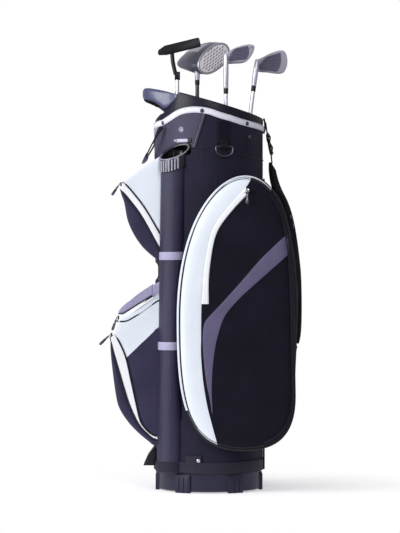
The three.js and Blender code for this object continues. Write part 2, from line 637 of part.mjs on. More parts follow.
function buildDriver() {
  const group = clubGroup(CLUBS.driver);
  const { hosel } = CLUBS.driver;
  buildShaft("driver", group, hosel, "graphite", 11);
  const head = skin(
    DRIVER.sections.map(([y, middle, width, height, lift]) =>
      Array.from({ length: 24 }, (_, i) => {
        const [c, s] = [Math.cos((i * Math.PI) / 12), Math.sin((i * Math.PI) / 12)];
        const round = (value) => Math.sign(value) * Math.abs(value) ** 0.92;
        return v3(middle + (width / 2) * round(c), y, lift + (height / 2) * round(s));
      }),
    ),
  );
  const neck = turned([[0, 0], [5.4, 0], [5.8, 14], [8.5, 27], [10, 36], [0, 42]], 14);
  const made = all(place(head, [0, 0, 0], [0, -DRIVER.lie, DRIVER.turn]), neck).subtract(shaftBore);
  part("driver_head", "brushedSteel", place(made, [0, 0, hosel]), group);
}

// Iron blades seen from the face, sole up: [out from the hosel's axis, up from its foot].
const IRON_BLADE = [[-4.7, 58], [-2.9, 68], [2.7, 78], [10.5, 84], [21.6, 89.6], [37.2, 94.3], [52.9, 96.6],
  [61.8, 94.8], [64, 90], [60.7, 79.2], [52.9, 66.9], [43.9, 59], [32.8, 55.8], [17.2, 55], [5, 55]];
const WEDGE_BLADE = [[-4.5, 43.5], [-2.3, 56], [10.3, 64.6], [27, 75.6], [44.1, 83.3], [55.2, 84.7], [62.6, 79],
  [67.6, 66], [68.2, 52.5], [63.2, 38.6], [50.2, 34], [27.5, 34], [5, 33.8]];

function buildIron(name, blade, loft, turn) {
  const group = clubGroup(CLUBS[name]);
  const { hosel } = CLUBS[name];
  buildShaft(name, group, hosel, "brushedSteel", 13);
  const heights = blade.map(([, z]) => z);
  const [low, high] = [Math.min(...heights), Math.max(...heights)];
  const middle = (low + high) / 2;
  // The face is at the front; the back thickens towards the sole, and the whole blade leans by its loft.
  const shaped = bend(side(blade, -3, 3, 1), (p) => {
    const share = (p.z - low) / (high - low);
    if (p.x < 0) p.x -= 9 * share ** 2;
    p.x += (p.z - middle) * Math.tan(rad(loft));
  });
  const neck = turned([[0, 0], [5.4, 0], [6, low - 4], [5, middle - 4], [0, middle]], 14);
  const made = all(place(shaped, [0, 0, 0], [0, 0, turn - 90]), neck).subtract(shaftBore);
  part(`${name}_head`, "chrome", place(made, [0, 0, hosel]), group);
}

function buildPutter() {
  const group = clubGroup(CLUBS.putter);
  const { hosel } = CLUBS.putter;
  buildShaft("putter", group, hosel, "brushedSteel", 0, 12.5);
  const blade = side([[-49, -2], [-47, -7], [-30, -10.5], [47, -10.5], [49, -7], [49, 8], [46, 10.5], [-30, 10.5],
    [-46, 4]], -5, 6, 1.2);
  const flange = side([[-36, 2], [-30, -4], [38, -4], [43, 2], [40, 6], [-32, 6]], -20, -4, 1);
  const head = place(all(blade, flange), [2, 3.4, 73], [13.7, 0, 0]);
  const neck = bar([v3(0, -11.6, 60), v3(0, -10.2, 42), v3(0, -7, 26), v3(0, -3.6, 12)], 4.6, { steps: 6 });
  const socket = side([[-5.8, 0], [6.2, 0], [6.2, 18], [-5.8, 18]], -5.8, 5.8, 1.5);
  const bore = shaftBore.intersect(rod(9, -60, 12));
  part("putter_head", "gunmetal", place(all(head, neck, socket).subtract(bore), [0, 0, hosel]), group);
}

// ---- The whole set ---------------------------------------------------------------------------

buildBase();
buildBody();
buildCuff();
buildHandle();
buildTrim();
buildDividers();
buildTube();
buildFittings();
buildTowelRing();
buildSidePocket("right", (made) => made);
buildSidePocket("left", mirrored);
buildZips();
buildFrontPockets();
buildGrabHandles();
buildShoulderStrap();
buildDriver();
buildIron("iron", IRON_BLADE, 24, 86);
buildIron("wedge", WEDGE_BLADE, 30, 90);
buildPutter();

export default bag;
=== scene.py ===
# A golf cart bag with four clubs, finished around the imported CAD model: skins, pockets, piping, zips, straps,
# club heads and materials. Sizes are millimetres in the row frame (+Z up, -Y the bag's front, +X the putter
# tube's side) and become metres when a mesh is made.
import bpy
import bmesh
import math
from mathutils import Matrix, Vector, noise


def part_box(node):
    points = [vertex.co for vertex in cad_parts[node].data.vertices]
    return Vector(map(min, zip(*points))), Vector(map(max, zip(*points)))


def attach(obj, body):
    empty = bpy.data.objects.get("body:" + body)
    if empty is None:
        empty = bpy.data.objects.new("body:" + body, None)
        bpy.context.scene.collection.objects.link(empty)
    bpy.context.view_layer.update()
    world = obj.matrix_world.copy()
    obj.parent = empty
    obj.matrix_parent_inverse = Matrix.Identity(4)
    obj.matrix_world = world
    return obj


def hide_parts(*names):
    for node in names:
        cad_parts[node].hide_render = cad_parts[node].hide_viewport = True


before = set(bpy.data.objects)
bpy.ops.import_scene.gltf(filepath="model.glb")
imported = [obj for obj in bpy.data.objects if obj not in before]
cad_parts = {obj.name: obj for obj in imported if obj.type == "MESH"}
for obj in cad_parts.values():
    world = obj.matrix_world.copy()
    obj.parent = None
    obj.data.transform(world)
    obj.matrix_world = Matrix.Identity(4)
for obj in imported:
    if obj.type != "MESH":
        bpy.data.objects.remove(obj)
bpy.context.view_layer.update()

MM = 0.001

# ---- Driving dimensions, as in the CAD model ---------------------------------------------------

BODY_R = 121.0
BODY_FOOT = 43.0
RIM_Z, RIM_SLOPE = 859.0, 0.28
TRIM_HEIGHT = 13.4
TRIM_R = 121.8
TRIM_LINE = [(0, 811.5), (33, 816), (45, 825), (58, 837), (70, 841.5), (81, 841), (91, 837), (101, 829.5),
             (112, 823.5), (124, 816.5), (138, 811.5), (158, 807), (180, 804)]
TUBE_R = 31.0
TUBE_FOOT, TUBE_HEAD = Vector((77, -85, 44)), Vector((83, -75, 774))
TUBE_TOP = 722.0
MOUTH_R, MOUTH_HEIGHT, MOUTH_Z, MOUTH_SLOPE = 34.0, 27.0, 749.5, 0.54
SEAM_X, PANEL_X = 150.4, 172.0
PANEL_MIDDLE = Vector((62, 384))
GRIP_FLOOR = 9.4
SEED = Vector((3.1, 7.7, 1.3))
# The body skin: its thickness, how far it ends below the trim's middle, how deep its flat between the front
# pockets is, and the radius of its hollow round the putter tube.
SKIN, TRIM_OVERLAP, FLAT_DEPTH, HOLLOW_R = 3.4, 4, 7.5, 32.2
HEM_Z, HEM_HEIGHT, PLATE_Z = 57, 24, 774.2
STITCH_PITCH, TOOTH_PITCH = 4.2, 2.3


# ---- Curves ------------------------------------------------------------------------------------

def spline(points, count, closed=False):
    """count points, evenly spaced along a Catmull-Rom curve through the given points."""
    pts = [Vector(p) for p in points]
    n = len(pts)
    spans = n if closed else n - 1
    fine = []
    for i in range(spans):
        if closed:
            a, b, c, d = (pts[(i + k) % n] for k in (-1, 0, 1, 2))
        else:
            a, b, c, d = (pts[min(max(i + k, 0), n - 1)] for k in (-1, 0, 1, 2))
        for j in range(24):
            t = j / 24
            fine.append(0.5 * (2 * b + (c - a) * t + (2 * a - 5 * b + 4 * c - d) * t * t
                               + (3 * b - a - 3 * c + d) * t ** 3))
    fine.append(pts[0] if closed else pts[-1])
    return even(fine, count, closed)


def even(line, count, closed=False):
    """count points at equal steps along a polyline."""
    reach = [0.0]
    for a, b in zip(line, line[1:]):
        reach.append(reach[-1] + (b - a).length)
    steps = count if closed else count - 1
    out, k = [], 0
    for i in range(count):
        want = reach[-1] * i / steps
        while k < len(line) - 2 and reach[k + 1] < want:
            k += 1
        gap = reach[k + 1] - reach[k]
        out.append(line[k].lerp(line[k + 1], (want - reach[k]) / gap if gap else 0))
    return out


def bezier(a, b, c, d, count=40):
    a, b, c, d = map(Vector, (a, b, c, d))
    return [a * (1 - t) ** 3 + 3 * b * t * (1 - t) ** 2 + 3 * c * t * t * (1 - t) + d * t ** 3
            for t in (i / count for i in range(count))]


def side_line(points, count, closed=False):
    """A smooth line through (y, z) points in the plane x = 0."""
    return spline([(0, y, z) for y, z in points], count, closed)


def length_of(line):
    return sum((b - a).length for a, b in zip(line, line[1:]))


def table(points, x):
    """The height at x on a smooth curve through (x, height) points."""
    for i, ((a, _), (b, _)) in enumerate(zip(points, points[1:])):
        if x <= b or i == len(points) - 2:
            break
    n = len(points)
    p = [points[min(max(i + k, 0), n - 1)][1] for k in (-1, 0, 1, 2)]
    t = min(max((x - a) / (b - a), 0), 1)
    return 0.5 * (2 * p[1] + (p[2] - p[0]) * t + (2 * p[0] - 5 * p[1] + 4 * p[2] - p[3]) * t * t
                  + (3 * p[1] - p[0] - 3 * p[2] + p[3]) * t ** 3)


def step(low, high, x):
    t = min(max((x - low) / (high - low), 0), 1)
    return t * t * (3 - 2 * t)


def wrinkle(p, scale, stretch=(1, 1, 1)):
    """Smooth noise from -1 to 1 whose lumps are about scale millimetres across."""
    q = Vector(p[i] * stretch[i] / scale for i in range(3))
    return noise.noise(q + SEED)


# ---- Meshes ------------------------------------------------------------------------------------

def piece(name, made, material, body="bag", replaces=(), sharp=40, bevel=0.0, subdivide=0):
    """A mesh object, in millimetres, that rides on a body."""
    verts, faces = made
    mesh = bpy.data.meshes.new(name)
    mesh.from_pydata([tuple(Vector(v) * MM) for v in verts], [], faces)
    bm = bmesh.new()
    bm.from_mesh(mesh)
    bmesh.ops.remove_doubles(bm, verts=bm.verts, dist=0.00001)
    bmesh.ops.recalc_face_normals(bm, faces=bm.faces)
    bm.to_mesh(mesh)
    bm.free()
    mesh.shade_smooth()
    if sharp < 180:
        mesh.set_sharp_from_angle(angle=math.radians(sharp))
    mesh.materials.append(material)
    ob = bpy.data.objects.new(name, mesh)
    bpy.context.scene.collection.objects.link(ob)
    if bevel:
        rounding = ob.modifiers.new("edges", "BEVEL")
        rounding.width = bevel * MM
        rounding.segments = 3
        rounding.limit_method = "ANGLE"
        rounding.angle_limit = math.radians(35)
    if subdivide:
        ob.modifiers.new("fine", "SUBSURF").levels = subdivide
        ob.modifiers["fine"].render_levels = subdivide
    if replaces:
        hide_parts(*replaces)
    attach(ob, body)
    return ob


def joined(*parts):
    verts, faces = [], []
    for v, f in parts:
        start = len(verts)
        verts += v
        faces += [tuple(i + start for i in face) for face in f]
    return verts, faces


def moved(made, change):
    """Each point changed by a function, or turned and moved by a matrix."""
    verts, faces = made
    if isinstance(change, Matrix):
        return [change @ Vector(v) for v in verts], faces
    return [change(Vector(v)) for v in verts], faces


def mirror(made):
    verts, faces = made
    return [Vector((-v[0], v[1], v[2])) for v in verts], [tuple(reversed(f)) for f in faces]


def loft(rings, loop=False):
    """A skin over rings of points, with a cap at each end unless the last ring joins up with the first."""
    n = len(rings[0])
    verts = [Vector(p) for ring in rings for p in ring]
    faces = []
    for i in range(len(rings) if loop else len(rings) - 1):
        a, b = i * n, ((i + 1) % len(rings)) * n
        for j in range(n):
            k = (j + 1) % n
            faces.append((a + j, a + k, b + k, b + j))
    if not loop:
        faces.append(tuple(range(n)))
        faces.append(tuple(reversed(range(len(verts) - n, len(verts)))))
    return verts, faces


def slab(top, bottom):
    """A closed sheet between two grids of points of the same size."""
    rows, cols = len(top), len(top[0])
    verts = [Vector(p) for grid in (top, bottom) for row in grid for p in row]
    under = rows * cols

    def at(i, j):
        return i * cols + j

    faces = []
    for i in range(rows - 1):
        for j in range(cols - 1):
            quad = (at(i, j), at(i, j + 1), at(i + 1, j + 1), at(i + 1, j))
            faces.append(quad)
            faces.append(tuple(v + under for v in reversed(quad)))
    edge = ([at(0, j) for j in range(cols)] + [at(i, cols - 1) for i in range(1, rows)]
            + [at(rows - 1, j) for j in range(cols - 2, -1, -1)] + [at(i, 0) for i in range(rows - 2, 0, -1)])
    for a, b in zip(edge, edge[1:] + edge[:1]):
        faces.append((b, a, a + under, b + under))
    return verts, faces


def frames(line, normal, closed=False):
    """Each point with its unit tangent, outward normal and side; normal is a direction or a function."""
    out = []
    n = len(line)
    for i, p in enumerate(line):
        before = line[i - 1] if i or closed else p
        after = line[(i + 1) % n] if i < n - 1 or closed else p
        along = (after - before).normalized()
        up = Vector(normal(p) if callable(normal) else normal)
        up = (up - along * up.dot(along)).normalized()
        out.append((p, along, up, along.cross(up)))
    return out


def swept(line, section, normal, closed=False):
    """A section of (across, up) points carried along a line."""
    rings = [[p + side * a + up * b for a, b in section] for p, _, up, side in frames(line, normal, closed)]
    return loft(rings, loop=closed)


def oval(width, height, count=12, power=2.0):
    """A superellipse section: power 2 is an ellipse and higher powers have squarer corners."""
    out = []
    for i in range(count):
        angle = 2 * math.pi * i / count
        c, s = math.cos(angle), math.sin(angle)
        out.append((math.copysign(abs(c) ** (2 / power), c) * width / 2,
                    math.copysign(abs(s) ** (2 / power), s) * height / 2))
    return out


def upright(thick, tall, count, power):
    """The same section for a band that goes round the bag: thick outwards, tall along Z."""
    return [(up, out) for out, up in oval(thick, tall, count, power)]


def tube(line, radius, sides, normal, closed=False):
    return swept(line, oval(2 * radius, 2 * radius, sides), normal, closed)


def lathe(profile, segments, matrix):
    """A profile of (radius, height) turned about Z; it starts and ends on the axis."""
    rings = [[Vector((r * math.cos(a), r * math.sin(a), z))
              for a in (2 * math.pi * j / segments for j in range(segments))] for r, z in profile]
    return moved(loft(rings), matrix)


def turn(at=(0, 0, 0), x=0.0, y=0.0, z=0.0):
    """Turned by degrees about X, then Y, then Z, and moved."""
    spin = [Matrix.Rotation(math.radians(a), 4, axis) for a, axis in ((z, "Z"), (y, "Y"), (x, "X"))]
    return Matrix.Translation(Vector(at)) @ spin[0] @ spin[1] @ spin[2]


def stitches(line, normal, lift, closed):
    """A row of small rounded stitches along a line."""
    long, wide, tall = 2.5, 0.75, 0.5
    count = max(2, int(length_of(line) / STITCH_PITCH))
    parts = []
    for p, along, up, side in frames(even(line, count, closed), normal, closed):
        rings = []
        for share, fat in ((-0.5, 0.3), (-0.3, 0.9), (0, 1), (0.3, 0.9), (0.5, 0.3)):
            rings.append([p + along * long * share + side * a * fat + up * (b * fat + lift)
                          for a, b in oval(wide, tall, 6)])
        parts.append(loft(rings))
    return joined(*parts)


def zip_teeth(line, normal, width):
    """A zip's coil: two rows of small teeth that meet on the line, on a narrow tape."""
    points = even(line, max(2, int(length_of(line) / TOOTH_PITCH)))
    parts = [swept(points, oval(width + 1.2, 0.8, 8, 4), normal)]
    for i, (p, along, up, side) in enumerate(frames(points, normal)):
        shift = width * (0.22 if i % 2 else -0.22)
        corners = [p + side * (shift + a * width * 0.3) + along * b
                   for a, b in ((-1, -0.6), (1, -0.6), (1, 0.6), (-1, 0.6))]
        parts.append(loft([[q + up * z for q in corners] for z in (0.2, 1.3)]))
    return joined(*parts)


# ---- Materials ---------------------------------------------------------------------------------

def srgb(*values):
    def linear(v):
        v /= 255
        return v / 12.92 if v <= 0.04045 else ((v + 0.055) / 1.055) ** 2.4
    return tuple(linear(v) for v in values) + (1.0,)


class Nodes:
    """A material's nodes, built around one Principled shader."""

    def __init__(self, name):
        self.material = bpy.data.materials.new(name)
        self.material.use_nodes = True
        self.tree = self.material.node_tree
        self.shader = self.tree.nodes["Principled BSDF"]
        self.place = self.add("ShaderNodeTexCoord").outputs["Object"]

    def add(self, kind, **values):
        node = self.tree.nodes.new(kind)
        for key, value in values.items():
            setattr(node, key, value)
        return node

    def link(self, a, b):
        self.tree.links.new(a, b)

    def feed(self, name, output):
        self.link(output, self.shader.inputs[name])

    def tone(self, factor, colour, spread):
        """The base colour, between a darker and a lighter shade of one colour."""
        self.feed("Base Color", self.ramp(factor, shade(colour, 1 - spread), shade(colour, 1 + spread)))

    def set(self, **values):
        for key, value in values.items():
            self.shader.inputs[key.replace("_", " ")].default_value = value

    def noise(self, size, detail=2.0, stretch=None):
        """Noise whose lumps are about size millimetres across."""
        node = self.add("ShaderNodeTexNoise")
        node.inputs["Scale"].default_value = 1000 / size
        node.inputs["Detail"].default_value = detail
        place = self.place
        if stretch:
            mapping = self.add("ShaderNodeMapping")
            mapping.inputs["Scale"].default_value = stretch
            self.link(place, mapping.inputs["Vector"])
            place = mapping.outputs["Vector"]
        self.link(place, node.inputs["Vector"])
        return node.outputs["Fac"]

    def waves(self, size, axes="XYZ"):
        """Threads size millimetres apart across each of the axes, added together."""
        total = None
        for axis in axes:
            wave = self.add("ShaderNodeTexWave", wave_type="BANDS", bands_direction=axis)
            wave.inputs["Scale"].default_value = 314.16 / size
            wave.inputs["Distortion"].default_value = 0.4
            self.link(self.place, wave.inputs["Vector"])
            total = wave.outputs["Fac"] if total is None else self.math("ADD", total, wave.outputs["Fac"])
        return total

    def math(self, operation, a, b):
        node = self.add("ShaderNodeMath", operation=operation)
        for socket, value in zip(node.inputs, (a, b)):
            if isinstance(value, (int, float)):
                socket.default_value = value
            else:
                self.link(value, socket)
        return node.outputs[0]

    def ramp(self, factor, low, high):
        node = self.add("ShaderNodeValToRGB")
        first, last = node.color_ramp.elements
        first.position, first.color = 0.35, low
        last.position, last.color = 0.65, high
        self.link(factor, node.inputs["Fac"])
        return node.outputs["Color"]

    def span(self, factor, low, high):
        node = self.add("ShaderNodeMapRange")
        node.inputs["To Min"].default_value = low
        node.inputs["To Max"].default_value = high
        self.link(factor, node.inputs["Value"])
        return node.outputs["Result"]

    def bump(self, height, depth, under=None):
        node = self.add("ShaderNodeBump")
        node.inputs["Distance"].default_value = depth * MM
        self.link(height, node.inputs["Height"])
        if under is not None:
            self.link(under, node.inputs["Normal"])
        return node.outputs["Normal"]


def shade(colour, factor):
    """An sRGB colour of 0 to 255 made lighter or darker by a factor."""
    return tuple(min(1, c * factor) for c in srgb(*colour)[:3]) + (1.0,)


def fabric(name, colour, thread=1.3, depth=0.22, rough=0.8, sheen=0.15, spread=0.16, crease=0.5,
           specular=0.35):
    """Woven cloth: threads both ways, slow patches of tone, fine fibre and faint creases."""
    n = Nodes(name)
    tone = n.math("ADD", n.math("MULTIPLY", n.noise(70, 3), 0.6), n.math("MULTIPLY", n.noise(2.4, 1), 0.4))
    n.tone(tone, colour, spread)
    creases = n.bump(n.noise(26, 3), crease)
    n.feed("Normal", n.bump(n.waves(thread), depth, creases))
    n.feed("Roughness", n.span(n.noise(9, 2), rough - 0.08, rough + 0.08))
    n.set(Sheen_Weight=sheen, Specular_IOR_Level=specular)
    return n.material


def plastic(name, colour, rough=0.45, grain=0.7, depth=0.06, coat=0.0, spread=0.08, specular=0.5,
            uneven=0.06):
    """Moulded plastic with a fine grain, a little wear in its tone and uneven gloss."""
    n = Nodes(name)
    n.tone(n.noise(30, 4), colour, spread)
    if depth:
        n.feed("Normal", n.bump(n.noise(grain, 1), depth))
    n.feed("Roughness", n.span(n.noise(12, 3), rough - uneven, rough + uneven))
    n.set(Coat_Weight=coat, Coat_Roughness=0.12, Specular_IOR_Level=specular)
    return n.material


def metal(name, colour, rough=0.2, brush=None, spread=0.06, metallic=1.0, depth=0.01, uneven=0.06):
    """Plated or brushed metal, with fine streaks along the brush direction."""
    n = Nodes(name)
    streaks = n.noise(0.6, 2, brush) if brush else n.noise(7, 3)
    n.tone(streaks, colour, spread)
    n.feed("Roughness", n.span(streaks, rough - uneven, rough + uneven))
    if depth:
        n.feed("Normal", n.bump(streaks, depth))
    n.set(Metallic=metallic)
    return n.material


def ribbed(name, colour, axis="Z", size=1.6, rough=0.85, depth=0.3, spread=0.2):
    """Webbing: ribs across its length and a fine weave."""
    n = Nodes(name)
    n.tone(n.noise(5, 2), colour, spread)
    weave = n.bump(n.waves(size * 0.6), 0.1)
    n.feed("Normal", n.bump(n.waves(size, axis), depth, weave))
    n.set(Roughness=rough, Sheen_Weight=0.03, Specular_IOR_Level=0.2)
    return n.material


BLACK = fabric("black woven nylon", (18, 16, 30), sheen=0.02, rough=0.7, spread=0.3, specular=0.11)
CHARCOAL = fabric("charcoal woven polyester", (28, 26, 46), thread=1.5, sheen=0.03, rough=0.6, spread=0.25,
                  specular=0.16)
SATIN = fabric("satin shield fabric", (52, 46, 73), thread=0.9, depth=0.08, rough=0.42, sheen=0.08,
               spread=0.1, crease=0.3, specular=0.35)
SLEEVE = fabric("tube sleeve fabric", (38, 34, 63), thread=1.1, depth=0.1, rough=0.38, sheen=0.04, spread=0.1,
                specular=0.38)
# The front pockets' black nylon, made lighter: painted light where these panels face the key light.
KEY_LIT_POUCH = fabric("front pocket fabric with painted key light", (46, 43, 71), thread=1.3, depth=0.2, rough=0.6, sheen=0.05, spread=0.22,
               specular=0.22)
BAND = fabric("hem band fabric", (27, 25, 42), thread=1.2, depth=0.15, rough=0.55, sheen=0.04, spread=0.15,
              specular=0.25)
WHITE = fabric("white coated fabric", (222, 229, 239), thread=1.2, depth=0.1, rough=0.5, sheen=0.02,
               spread=0.03, crease=0.35, specular=0.3)
GUARD = fabric("white zip guard fabric", (236, 238, 243), thread=1.0, depth=0.08, rough=0.4, sheen=0.0,
               spread=0.015, crease=0.15, specular=0.4)
GREY = fabric("grey coated fabric", (87, 80, 113), thread=1.0, depth=0.1, rough=0.42, sheen=0.06, spread=0.16,
              crease=0.3, specular=0.4)
STRAP_GREY = fabric("pale grey strap fabric", (168, 165, 196), thread=1.0, depth=0.1, rough=0.42, sheen=0.05,
                    spread=0.06)
LID_GREY = fabric("pale grey coated fabric", (150, 147, 178), thread=1.0, depth=0.1, rough=0.42, sheen=0.05,
                  spread=0.08, crease=0.3, specular=0.4)
TAPE = ribbed("white edge tape", (228, 230, 243), "Z", 1.5, 0.6, 0.06, 0.05)
WEB = ribbed("black webbing", (20, 19, 26))
SPACER = fabric("padded mesh fabric", (22, 21, 28), thread=2.4, depth=0.6, rough=0.85, sheen=0.04, spread=0.3,
                specular=0.15)
MOULDED = plastic("moulded plastic", (31, 29, 52), rough=0.42, depth=0.09, specular=0.3)
CUFF = plastic("cuff plastic", (19, 17, 34), rough=0.4, depth=0.05, specular=0.25)
GLOSS = plastic("gloss handle plastic", (66, 69, 102), rough=0.36, depth=0, coat=0.25, spread=0.03,
                uneven=0.01)
SILVER = plastic("silver collar plastic", (140, 140, 156), rough=0.3, depth=0.02, coat=0.3)
COLLAR = plastic("dark collar plastic", (28, 27, 37), rough=0.3, depth=0.02, coat=0.2, specular=0.4)
DARK = plastic("dark plastic", (18, 17, 24), rough=0.38, specular=0.3)
CHROME = metal("chrome plate", (205, 205, 212), 0.14)
STEEL = metal("polished shaft steel", (220, 219, 228), 0.32, spread=0.02, metallic=0.9, depth=0, uneven=0.01)
BLADE = metal("polished blade steel", (200, 197, 212), 0.34, spread=0.03, metallic=0.65, depth=0, uneven=0.02)
BADGE = metal("satin badge metal", (122, 120, 134), 0.42, metallic=0.8)
NICKEL = metal("black nickel", (52, 50, 60), 0.36)
BLAST = metal("blasted face steel", (108, 103, 127), 0.5, spread=0.08, metallic=0.3)
GUN = metal("gunmetal plate", (92, 90, 100), 0.3)
TITAN = metal("brushed titanium", (248, 243, 248), 0.45, (1.4, 0.06, 0.06), metallic=0.0)
CROWN = plastic("driver crown lacquer", (74, 73, 90), rough=0.24, grain=1.0, depth=0.015, coat=0.6,
                spread=0.05)
CARBON = plastic("graphite shaft lacquer", (30, 29, 38), rough=0.3, depth=0.01, coat=0.4)
PUTTER = plastic("putter coating", (10, 8, 20), rough=0.4, depth=0.03, specular=0.25)
RUBBER = fabric("grip rubber", (28, 28, 34), thread=2.6, depth=0.5, rough=0.88, sheen=0.02, specular=0.2)
THREAD = fabric("white thread", (205, 206, 214), thread=0.5, depth=0.05, rough=0.7)
DARK_THREAD = fabric("grey thread", (58, 56, 72), thread=0.5, depth=0.05, rough=0.7, specular=0.2)
PIPING = fabric("white piping", (222, 228, 238), thread=1.0, depth=0.1, rough=0.45, sheen=0.0, spread=0.03,
                crease=0.1, specular=0.3)
DARK_PIPING = fabric("dark piping", (22, 21, 31), thread=1.0, depth=0.12, rough=0.6, specular=0.2)
ZIP = plastic("zip coil", (26, 26, 38), rough=0.4, depth=0.02, specular=0.25)


# ---- Places on the bag ---------------------------------------------------------------------------

UP, OUT_X, OUT_Y, FRONT = (Vector(v) for v in ((0, 0, 1), (1, 0, 0), (0, 1, 0), (0, -1, 0)))


def sew(name, lines, normal, thread=DARK_THREAD, lift=0.15, closed=False, body="bag"):
    """One piece made of a row of stitches along each line."""
    rows = [stitches(line, normal, lift, closed) for line in lines]
    piece(name, joined(*rows), thread, body=body)


def rim_z(y, below=0.0):
    return RIM_Z - RIM_SLOPE * y - below


def trim_z(angle):
    """The trim band's middle height, angle degrees round from the front."""
    angle %= 360
    return table(TRIM_LINE, min(angle, 360 - angle))


def around(angle, r, z):
    """The point angle degrees round from the front, towards the putter tube."""
    a = math.radians(angle)
    return Vector((r * math.sin(a), -r * math.cos(a), z))


def outward(p):
    return Vector((p[0], p[1], 0)).normalized()


def tube_axis(z):
    return TUBE_FOOT.lerp(TUBE_HEAD, (z - TUBE_FOOT.z) / (TUBE_HEAD.z - TUBE_FOOT.z))


MOUTH_OUT = Vector((TUBE_HEAD.x, TUBE_HEAD.y)).normalized()


def mouth_z(x, y):
    """The height of the mouth's plane, x and y from the tube's axis."""
    return MOUTH_Z - MOUTH_SLOPE * (x * MOUTH_OUT.x + y * MOUTH_OUT.y)


def eye_top(y, r=MOUTH_R):
    """The upper edge of the mouth as it opens through the bag's side, or None beside it."""
    s = (y - TUBE_HEAD.y) / r
    if abs(s) >= 1:
        return None
    return mouth_z(-r * math.sqrt(1 - s * s), r * s)


def body_front(x, y, z):
    """y moved forward into the middle of the body's wall and of the putter tube's wall."""
    wall = BODY_R - 2.2
    if abs(x) < wall:
        y = min(y, -math.sqrt(wall ** 2 - x * x))
    axis = tube_axis(z)
    reach = TUBE_R - 1.3
    if abs(x - axis.x) < reach and z < MOUTH_Z:
        y = min(y, axis.y - math.sqrt(reach ** 2 - (x - axis.x) ** 2))
    return y


# ---- Body ----------------------------------------------------------------------------------------

THROAT_SEAM = [(0, 757), (62, 757), (75, 758), (97, 755), (119, 744), (141, 737), (163, 735.5), (180, 735)]


def throat_z(angle):
    angle %= 360
    return table(THROAT_SEAM, min(angle, 360 - angle))


def skin_radius(angle, z):
    """The bag's outer radius: round, flattened between the front pockets, hollowed at the putter tube."""
    a = math.radians(angle)
    p = around(angle, BODY_R, z)
    fold = 0.9 * wrinkle(p, 60, (1, 1, 0.5)) + 0.5 * wrinkle(p, 22, (1, 1, 0.6))
    seam = abs(z - throat_z(angle))
    r = BODY_R - 0.4 + 0.5 * fold - 1.1 * (1 - step(0, 5, seam))
    flat = FLAT_DEPTH * step(466, 476, z) * (1 - step(500, 510, z))
    if flat:
        r = min(r, (BODY_R - flat) / max(math.cos(a), 0.5))

    inner = MOUTH_R - 1.0
    top = eye_top(p.y, inner) if p.x > 0 else None
    beside = Vector((p.x - TUBE_HEAD.x, p.y - TUBE_HEAD.y))
    inside = beside.length < inner and z > MOUTH_Z - 34
    if top is not None and z < top + 2 and (inside or z > mouth_z(*beside) - 2):
        r = min(r, 100.0)

    axis = tube_axis(z)
    centre = math.degrees(math.atan2(axis.x, -axis.y))
    swing = math.radians((angle - centre + 180) % 360 - 180)
    reach = Vector((axis.x, axis.y)).length
    aside, ahead = reach * math.sin(swing), reach * math.cos(swing)
    beside_tube = abs(aside) < HOLLOW_R and ahead > 0 and abs(math.degrees(swing)) < 15.4
    if beside_tube and z < MOUTH_Z + 10:
        r = min(r, ahead - math.sqrt(HOLLOW_R ** 2 - aside ** 2))
    return r


def make_body():
    angles = [i * 1.5 for i in range(240)]
    low, rows = BODY_FOOT + 1, 150
    outer, inner = [], []
    for i in range(rows + 1):
        spots = [(a, low + (trim_z(a) - TRIM_OVERLAP - low) * i / rows) for a in angles]
        radii = [skin_radius(a, z) for a, z in spots]
        outer.append([around(a, r, z) for (a, z), r in zip(spots, radii)])
        inner.append([around(a, r - SKIN, z) for (a, z), r in zip(spots, radii)])
    made = loft(outer + inner[::-1], loop=True)
    piece("body_skin", made, CHARCOAL, replaces=["body_shell"], sharp=60)

    seam = [around(a, BODY_R + 0.2, throat_z(a)) for a in range(62, 328, 2)]
    seam = [p for p in seam if not (p.x > 0 and p.y < -38)]
    piece("throat_seam", tube(seam, 1.0, 8, UP), DARK_PIPING)
    sew("throat_stitches", [[p + UP * d for p in seam] for d in (3.4, -3.4)], outward,
        lift=-0.1)

    hem = [around(a, BODY_R + 1.4, HEM_Z + math.sin(math.radians(a * 3))) for a in range(0, 360, 3)]
    made = swept(hem, upright(2.2, HEM_HEIGHT, 16, 5), outward, closed=True)
    piece("hem", made, BAND, replaces=["hem_band"])
    rows = [[p + UP * d + outward(p) * 1.1 for p in hem] for d in (9, -9)]
    sew("hem_stitches", rows, outward, closed=True)

    reach, thick = BODY_R + 3.0, 2.6
    ys = [-52 + 35 * j / 12 for j in range(13)]
    zs = [63 + 20 * i / 8 for i in range(9)]
    top = [[Vector((math.sqrt(reach ** 2 - y * y), y, z)) for y in ys] for z in zs]
    bottom = [[p - OUT_X * thick for p in row] for row in top]
    piece("foot_tab", slab(top, bottom), BAND, bevel=0.5)
    rivet = [(0, 0), (4.2, 0), (4.2, 1.0), (3.4, 2.0), (1.8, 2.5), (0, 2.6)]
    piece("foot_tab_rivet", lathe(rivet, 28, facing(-23.5, 72.5, BODY_R + 2.8)), CHROME)

    line = [Vector((0, BODY_R + 1.7, z)) for z in range(46, 700, 8)]
    made = swept(line, oval(44, 3.2, 16, 6), OUT_Y)
    piece("back_spine", made, WEB, replaces=["spine_strip"])
    sew("back_spine_stitches", [[p + Vector((x, 1.5, 0)) for p in line] for x in (-19, 19)], OUT_Y)


def seam_angle(z):
    """The shield's rear edge, in degrees round from the front."""
    return 75.1 + 11 * (z - 757.4) / 74.4


